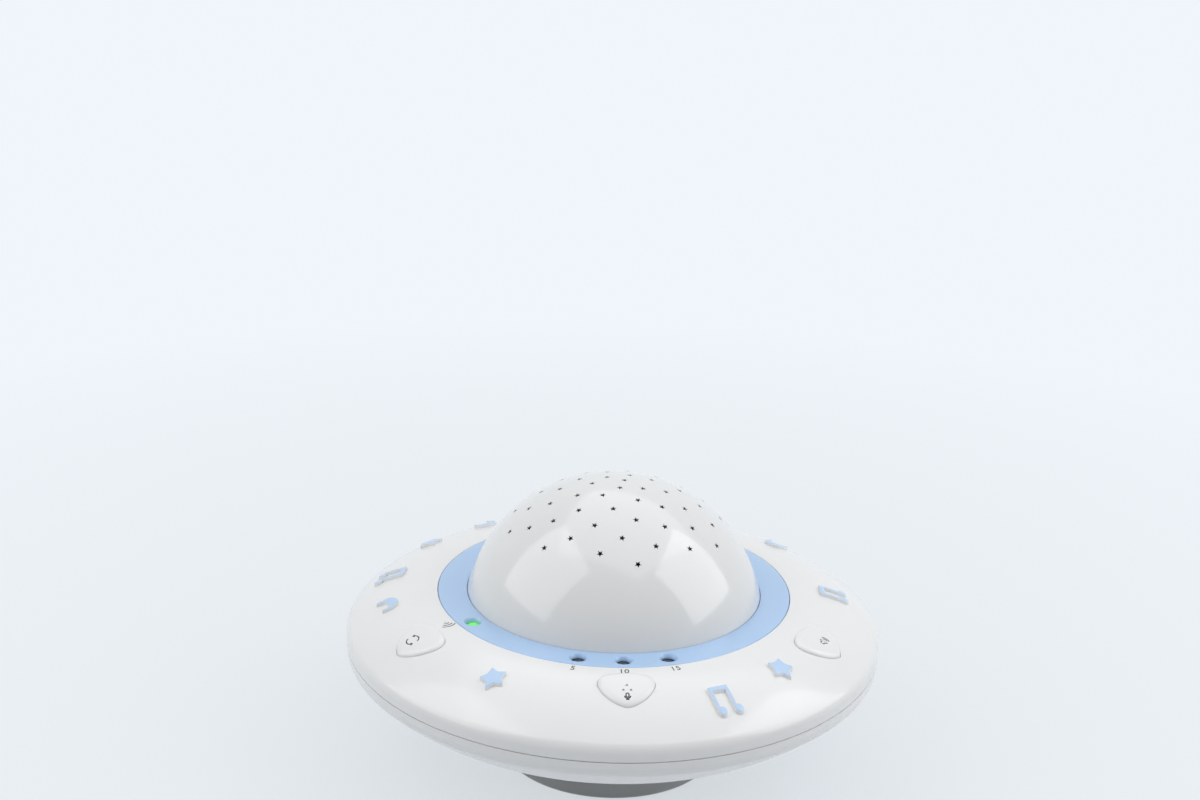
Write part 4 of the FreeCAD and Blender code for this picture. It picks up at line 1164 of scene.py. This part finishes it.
def printed(name, source, azimuth, radius, lift, body):
    """Turns drawn curves into a thin print on the crown. Up on the drawing is towards the dome."""
    graph = bpy.context.evaluated_depsgraph_get()
    flat = bpy.data.meshes.new_from_object(source.evaluated_get(graph), depsgraph=graph)
    remove(source)
    mesh = bmesh.new()
    mesh.from_mesh(flat)
    bmesh.ops.remove_doubles(mesh, verts=mesh.verts, dist=1e-4)
    xs = [v.co.x for v in mesh.verts]
    ys = [v.co.y for v in mesh.verts]
    middle = Vector(((min(xs) + max(xs)) / 2, (min(ys) + max(ys)) / 2, 0))
    thick = max(v.co.z for v in mesh.verts)
    for vertex in mesh.verts:
        u, v, z = vertex.co - middle
        vertex.co = Vector((-v, u, z / thick * print_height))
    dice(mesh, 1.0)
    wrap(mesh, azimuth, radius, lift)
    hand_over(kept(mesh, name, "part_black"), body, "part_black")


def on_paper(curve):
    source = bpy.data.objects.new(curve.name, curve)
    bpy.context.collection.objects.link(source)
    return source


def drawing(lines, loops=()):
    """Strokes along open lines and round closed loops, as one curve object."""
    curve = bpy.data.curves.new("drawing", "CURVE")
    curve.dimensions = "3D"
    curve.bevel_depth = stroke
    curve.bevel_resolution = 1
    curve.use_fill_caps = True
    for points in list(lines) + list(loops):
        spline = curve.splines.new("POLY")
        spline.points.add(len(points) - 1)
        for slot, (u, v) in zip(spline.points, points):
            slot.co = (u, v, 0, 1)
        spline.use_cyclic_u = points in loops
    return on_paper(curve)


def digits(text, size):
    curve = bpy.data.curves.new("digits", "FONT")
    curve.body = text
    curve.size = size
    curve.extrude = 0.05
    curve.resolution_u = 3
    return on_paper(curve)


print("a print stands", print_height, "mm above its plastic")

# %% [markdown]
# Each picture is a few arcs and strokes round its own middle, drawn in millimetres. Pictures
# on the two keys ride on the keys, so they go down with them.

# %% Numbers and pictures
number_circle = 72.2
number_size = 3.9
for minutes in (5, 10, 15):
    azimuth = led_azimuths[f"timer_led_{minutes}"]
    number = digits(str(minutes), number_size)
    printed(f"print_{minutes}", number, azimuth, number_circle, 0.0, "housing")


def waves(middle, radii, spread):
    """Arcs that open to the right, as sound is drawn."""
    return [swing(middle, r, -spread, spread, 8) for r in radii]


def turning_arrows(radius, barb):
    """Two arcs that chase each other. Each ends in two barbs that lean back from its heading."""
    lines = []
    for start in (20, 200):
        end = start + 132
        lines.append(swing((0, 0), radius, start, end, 12))
        tip = Vector(polar(radius, end))
        for lean in (-44, 36):
            back = Vector(polar(barb, end + 90 + 180 + lean))
            lines.append([tuple(tip), tuple(tip + back)])
    return lines


speaker_loop = [(-1.8, -0.6), (-1.0, -0.6), (0.1, -1.5), (0.1, 1.5), (-1.0, 0.6), (-1.8, 0.6)]
mic_loop = swing((0, 0.55), 0.5, 0, 180, 8) + swing((0, -0.25), 0.5, 180, 360, 8)
mic_lines = [swing((0, -0.25), 1.05, 180, 360, 10)]
mic_lines += [[(0, -1.3), (0, -1.75)], [(-0.6, -1.75), (0.6, -1.75)]]
ear_lines = [[(-2.0, 0), (-1.7, 0)]] + waves((-2.0, 0), (1.5, 2.8, 4.1), 42)
printed("print_sound", drawing(ear_lines), 207.8, 73.0, 0.0, "housing")
printed("print_mode", drawing(turning_arrows(2.3, 0.95)), 209.3, 88.6, pad_proud, "mode_key")
printed("print_mic", drawing(mic_lines, [mic_loop]), 270, 87.7, pad_proud, "housing")
speaker = drawing(waves((0.4, 0), (1.1, 2.0), 48), [speaker_loop])
printed("print_volume", speaker, 330.8, 88.2, pad_proud, "volume_key")
print("printing made")

# %% [markdown]
# ## Repeating small hardware
#
# Screws and rubber pads repeat. A second tree sets a copy of one piece on each point of the
# mesh that it runs on, so the points alone say how many there are and where.

# %% A tree that repeats a piece
def make_repeat_tree():
    graph, given = new_tree("repeat", {"Piece": "Object", "Material": "Material"})
    info = graph.node("GeometryNodeObjectInfo", {"transform_space": "ORIGINAL"},
                      {"Object": given("Piece")}, "Geometry")
    copies = graph.node("GeometryNodeInstanceOnPoints", None,
                        {"Points": given("Geometry"), "Instance": info})
    return close_tree(graph, copies, given("Material"))


repeat_tree = make_repeat_tree()


def repeat(name, single, places, slot):
    """Copies of one piece at the given places, as one plain mesh."""
    piece = new_piece(name, places)
    run_tree(piece, repeat_tree, piece=single, material=finish[slot])
    remove(single)
    outward(piece)
    true_normals(piece)
    return piece


# %% [markdown]
# The four rubber pads are turned too, with a shallow hollow underneath that makes them grip.

# %% Rubber pads with a soft edge
rubber_radius = 4.5
rubber_lip = 0.35
rubber_top = high("rubber_feet", 2)
rubber_x = high("rubber_feet", 0) - rubber_radius
rubber_y = high("rubber_feet", 1) - rubber_radius


def rubber_section():
    points = [(0, 0.15), (2.8, 0.15), (3.1, 0.0)]
    points += swing((rubber_radius - rubber_lip, rubber_lip), rubber_lip, -90, 0, 5)
    return points + [(rubber_radius, rubber_top), (0, rubber_top)]


rubber_places = [(x * rubber_x, y * rubber_y, 0) for x in (1, -1) for y in (1, -1)]
rubber_one = lathe("rubber_one", rubber_section(), "foot_rubber", 48)
rubber_pads = repeat("rubber_pads", rubber_one, rubber_places, "foot_rubber")
hand_over(rubber_pads, "housing", "foot_rubber", "rubber_feet")

# %% [markdown]
# A pan-head screw is turned with a slightly domed head, and the cross in it is cut with two
# thin blocks. The six case screws sit deep in their towers under the saucer.

# %% Screws
def screw_piece(name, radius, head_radius, head_height, length):
    """A cross-head screw that points up from height 0."""
    dome = head_height * 0.3
    ball = (head_radius ** 2 + dome ** 2) / (2 * dome)
    edge = math.degrees(math.acos(head_radius / ball))
    points = swing((0, ball - head_height), ball, -90, -edge, 6)
    points += [(head_radius, 0), (radius, 0), (radius, length - radius), (0, length)]
    screw = lathe(name, points, "tin_steel", 32)
    for turn in (0, 90):
        mesh = bmesh.new()
        bmesh.ops.create_cube(mesh, size=1.0)
        size = Vector((head_radius * 1.3, head_radius * 0.36, head_height)) * MM
        bmesh.ops.scale(mesh, vec=size, verts=mesh.verts)
        bmesh.ops.translate(mesh, vec=Vector((0, 0, -head_height)) * MM, verts=mesh.verts)
        bmesh.ops.rotate(mesh, matrix=Matrix.Rotation(math.radians(turn), 3, "Z"), verts=mesh.verts)
        carve(screw, kept(mesh, "slot", "tin_steel"))
    return screw


case_circle = 82.0
case_length = 17.0
case_seat = high("case_screws", 2) - case_length
case_one = screw_piece("case_one", 1.5, 2.8, 2.0, case_length)
case_places = [(*polar(case_circle, 60 * i), case_seat) for i in range(6)]
case_screws = repeat("case_screw_set", case_one, case_places, "tin_steel")
hand_over(case_screws, "housing", "tin_steel", "case_screws")

door_lowest, door_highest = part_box("battery_door_screw")
door_length = 6.0
door_seat = round(door_highest.z / MM - door_length, 2)
door_place = ((door_lowest.x + door_highest.x) / 2 / MM, 0, door_seat)
door_one = screw_piece("door_one", 1.1, 2.1, 0.9, door_length)
door_screw = repeat("door_screw", door_one, [door_place], "tin_steel")
hand_over(door_screw, "housing", "tin_steel", "battery_door_screw")

# %% [markdown]
# ## Broken edges on the door and the switch knob
#
# The battery door and the knob are prismatic parts whose shape is right but whose edges are
# knife sharp. A copy of the part's mesh has its loose triangles merged, its flat faces joined,
# and a narrow bevel run round every edge.

# %% Copies with broken edges
def broken_edges(name, node, width, slot):
    copy = bpy.data.objects.new(name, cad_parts[node].data.copy())
    bpy.context.collection.objects.link(copy)
    copy.data.attributes.remove(copy.data.attributes["custom_normal"])
    mesh = bmesh.new()
    mesh.from_mesh(copy.data)
    bmesh.ops.remove_doubles(mesh, verts=mesh.verts, dist=0.002 * MM)
    bmesh.ops.dissolve_limit(mesh, angle_limit=math.radians(1), verts=mesh.verts, edges=mesh.edges)
    mesh.to_mesh(copy.data)
    mesh.free()
    bevel = copy.modifiers.new("bevel", "BEVEL")
    bevel.width = width * MM
    bevel.segments = 2
    bevel.limit_method = "ANGLE"
    bevel.angle_limit = math.radians(40)
    settle(copy)
    copy.data.materials.clear()
    copy.data.materials.append(finish[slot])
    outward(copy)
    true_normals(copy)
    return copy


door = broken_edges("door_plate", "battery_door", 0.12, "foot_grey")
hand_over(door, "housing", "foot_grey", "battery_door")
knob = broken_edges("slider_knob", "power_knob", 0.12, "part_black")
hand_over(knob, "power_slider", "part_black", "power_knob")

# %% [markdown]
# ## Floor, light and camera
#
# The floor and the room are one pale tone, so that there is no horizon. Near the object the
# floor is partly a matt surface under the lamps, which keeps the soft shadow, and further out
# it turns into the plain tone. Rays that only carry light see a dimmer room, which leaves the
# shaping of the object to the lamps.

# %% Floor and room
backdrop = (0.87, 0.915, 0.96, 1)
shadow_reach = 0.12
shadow_fade = 0.5
shadow_share = 0.34


def seen_rays(graph):
    """1 for the rays that show a surface to the eye: straight, mirrored or through glass."""
    paths = [graph.node("ShaderNodeLightPath", output=f"Is {kind} Ray")
             for kind in ("Camera", "Glossy", "Transmission")]
    return graph.clamp(paths[0] + paths[1] + paths[2])


def bare_tree(block):
    block.use_nodes = True
    block.node_tree.nodes.clear()
    return Graph(block.node_tree)


def floor_finish():
    material = bpy.data.materials.new("floor_white")
    graph = bare_tree(material)
    place = graph.node("ShaderNodeTexCoord", output="Object")
    reach = graph.node("ShaderNodeVectorMath", {"operation": "LENGTH"}, {0: place}, "Value")
    far = graph.clamp((reach - shadow_reach) / shadow_fade)
    plain = seen_rays(graph) * (1 - shadow_share + far * shadow_share)
    matt = graph.node("ShaderNodeBsdfDiffuse", None, {"Color": (0.70, 0.73, 0.76, 1)})
    glow = graph.node("ShaderNodeEmission", None, {"Color": backdrop, "Strength": 1.0})
    both = graph.node("ShaderNodeMixShader", None, {0: plain, 1: matt, 2: glow})
    graph.feed(material.node_tree.nodes.new("ShaderNodeOutputMaterial").inputs[0], both)
    return material


floor_half = 3000
floor_corners = [(-1, -1), (1, -1), (1, 1), (-1, 1)]
floor = new_piece("floor", [(x * floor_half, y * floor_half, 0) for x, y in floor_corners],
                  [(0, 1, 2, 3)])
floor.data.materials.append(floor_finish())

world = bpy.data.worlds.new("room")
bpy.context.scene.world = world
room = bare_tree(world)
seen = seen_rays(room)
ambient = 0.33
tint = room.mix(seen, (1, 1, 1), backdrop[:3])
light = {"Color": tint, "Strength": ambient + seen * (1 - ambient)}
sky = room.node("ShaderNodeBackground", None, light)
room.feed(world.node_tree.nodes.new("ShaderNodeOutputWorld").inputs[0], sky)
print("floor and room made")

# %% [markdown]
# Large lamps give soft shadows and broad reflections. The two at the sides stand at the height
# of the dome's shoulders, so each leaves one clean patch of light on it. The third is so large
# and so high that it lights the whole saucer evenly.

# %% Soft boxes
def soft_box(name, place, size, power):
    """A square area lamp that faces the middle of the object."""
    lamp = bpy.data.lights.new(name, "AREA")
    lamp.shape = "SQUARE"
    lamp.size = size
    lamp.energy = power
    box = bpy.data.objects.new(name, lamp)
    box.location = place
    aim = Vector((0, 0, 0.07)) - Vector(place)
    box.rotation_euler = aim.to_track_quat("-Z", "Y").to_euler()
    bpy.context.collection.objects.link(box)


soft_box("box_right", (0.80, -0.12, 0.60), 0.85, 3.9)
soft_box("box_left", (-0.68, -0.12, 0.62), 0.85, 3.0)
soft_box("box_top", (0.15, 0.25, 1.75), 2.4, 13.4)
print("lamps set")

# %% [markdown]
# The camera looks down on the saucer by a little under nineteen degrees, from a touch to the
# left, with a slight roll. Its place is measured from the middle of the parting line, because
# that point doesn't move when the foot or the dome changes.

# %% Camera
view_distance = 0.735
view_azimuth = -94.0
view_elevation = 25.73
pitch = 90 - 18.577
yaw = -3.334
roll = 1.718
bearing = math.radians(view_azimuth)
rise = math.radians(view_elevation)
level = math.cos(rise)
eye = Vector((math.cos(bearing) * level, math.sin(bearing) * level, math.sin(rise)))
eye = eye * view_distance + Vector((0, 0, parting * MM))
lens_data = bpy.data.cameras.new("camera")
lens_data.sensor_width = 36.0
lens_data.lens = 54.8
camera = bpy.data.objects.new("camera", lens_data)
stance = Matrix.Translation(eye)
for angle, axis in ((yaw, "Z"), (pitch, "X"), (roll, "Z")):
    stance = stance @ Matrix.Rotation(math.radians(angle), 4, axis)
camera.matrix_world = stance
bpy.context.collection.objects.link(camera)
bpy.context.scene.camera = camera
bpy.context.scene.view_settings.view_transform = "Standard"
print("camera at", [round(c, 3) for c in eye])
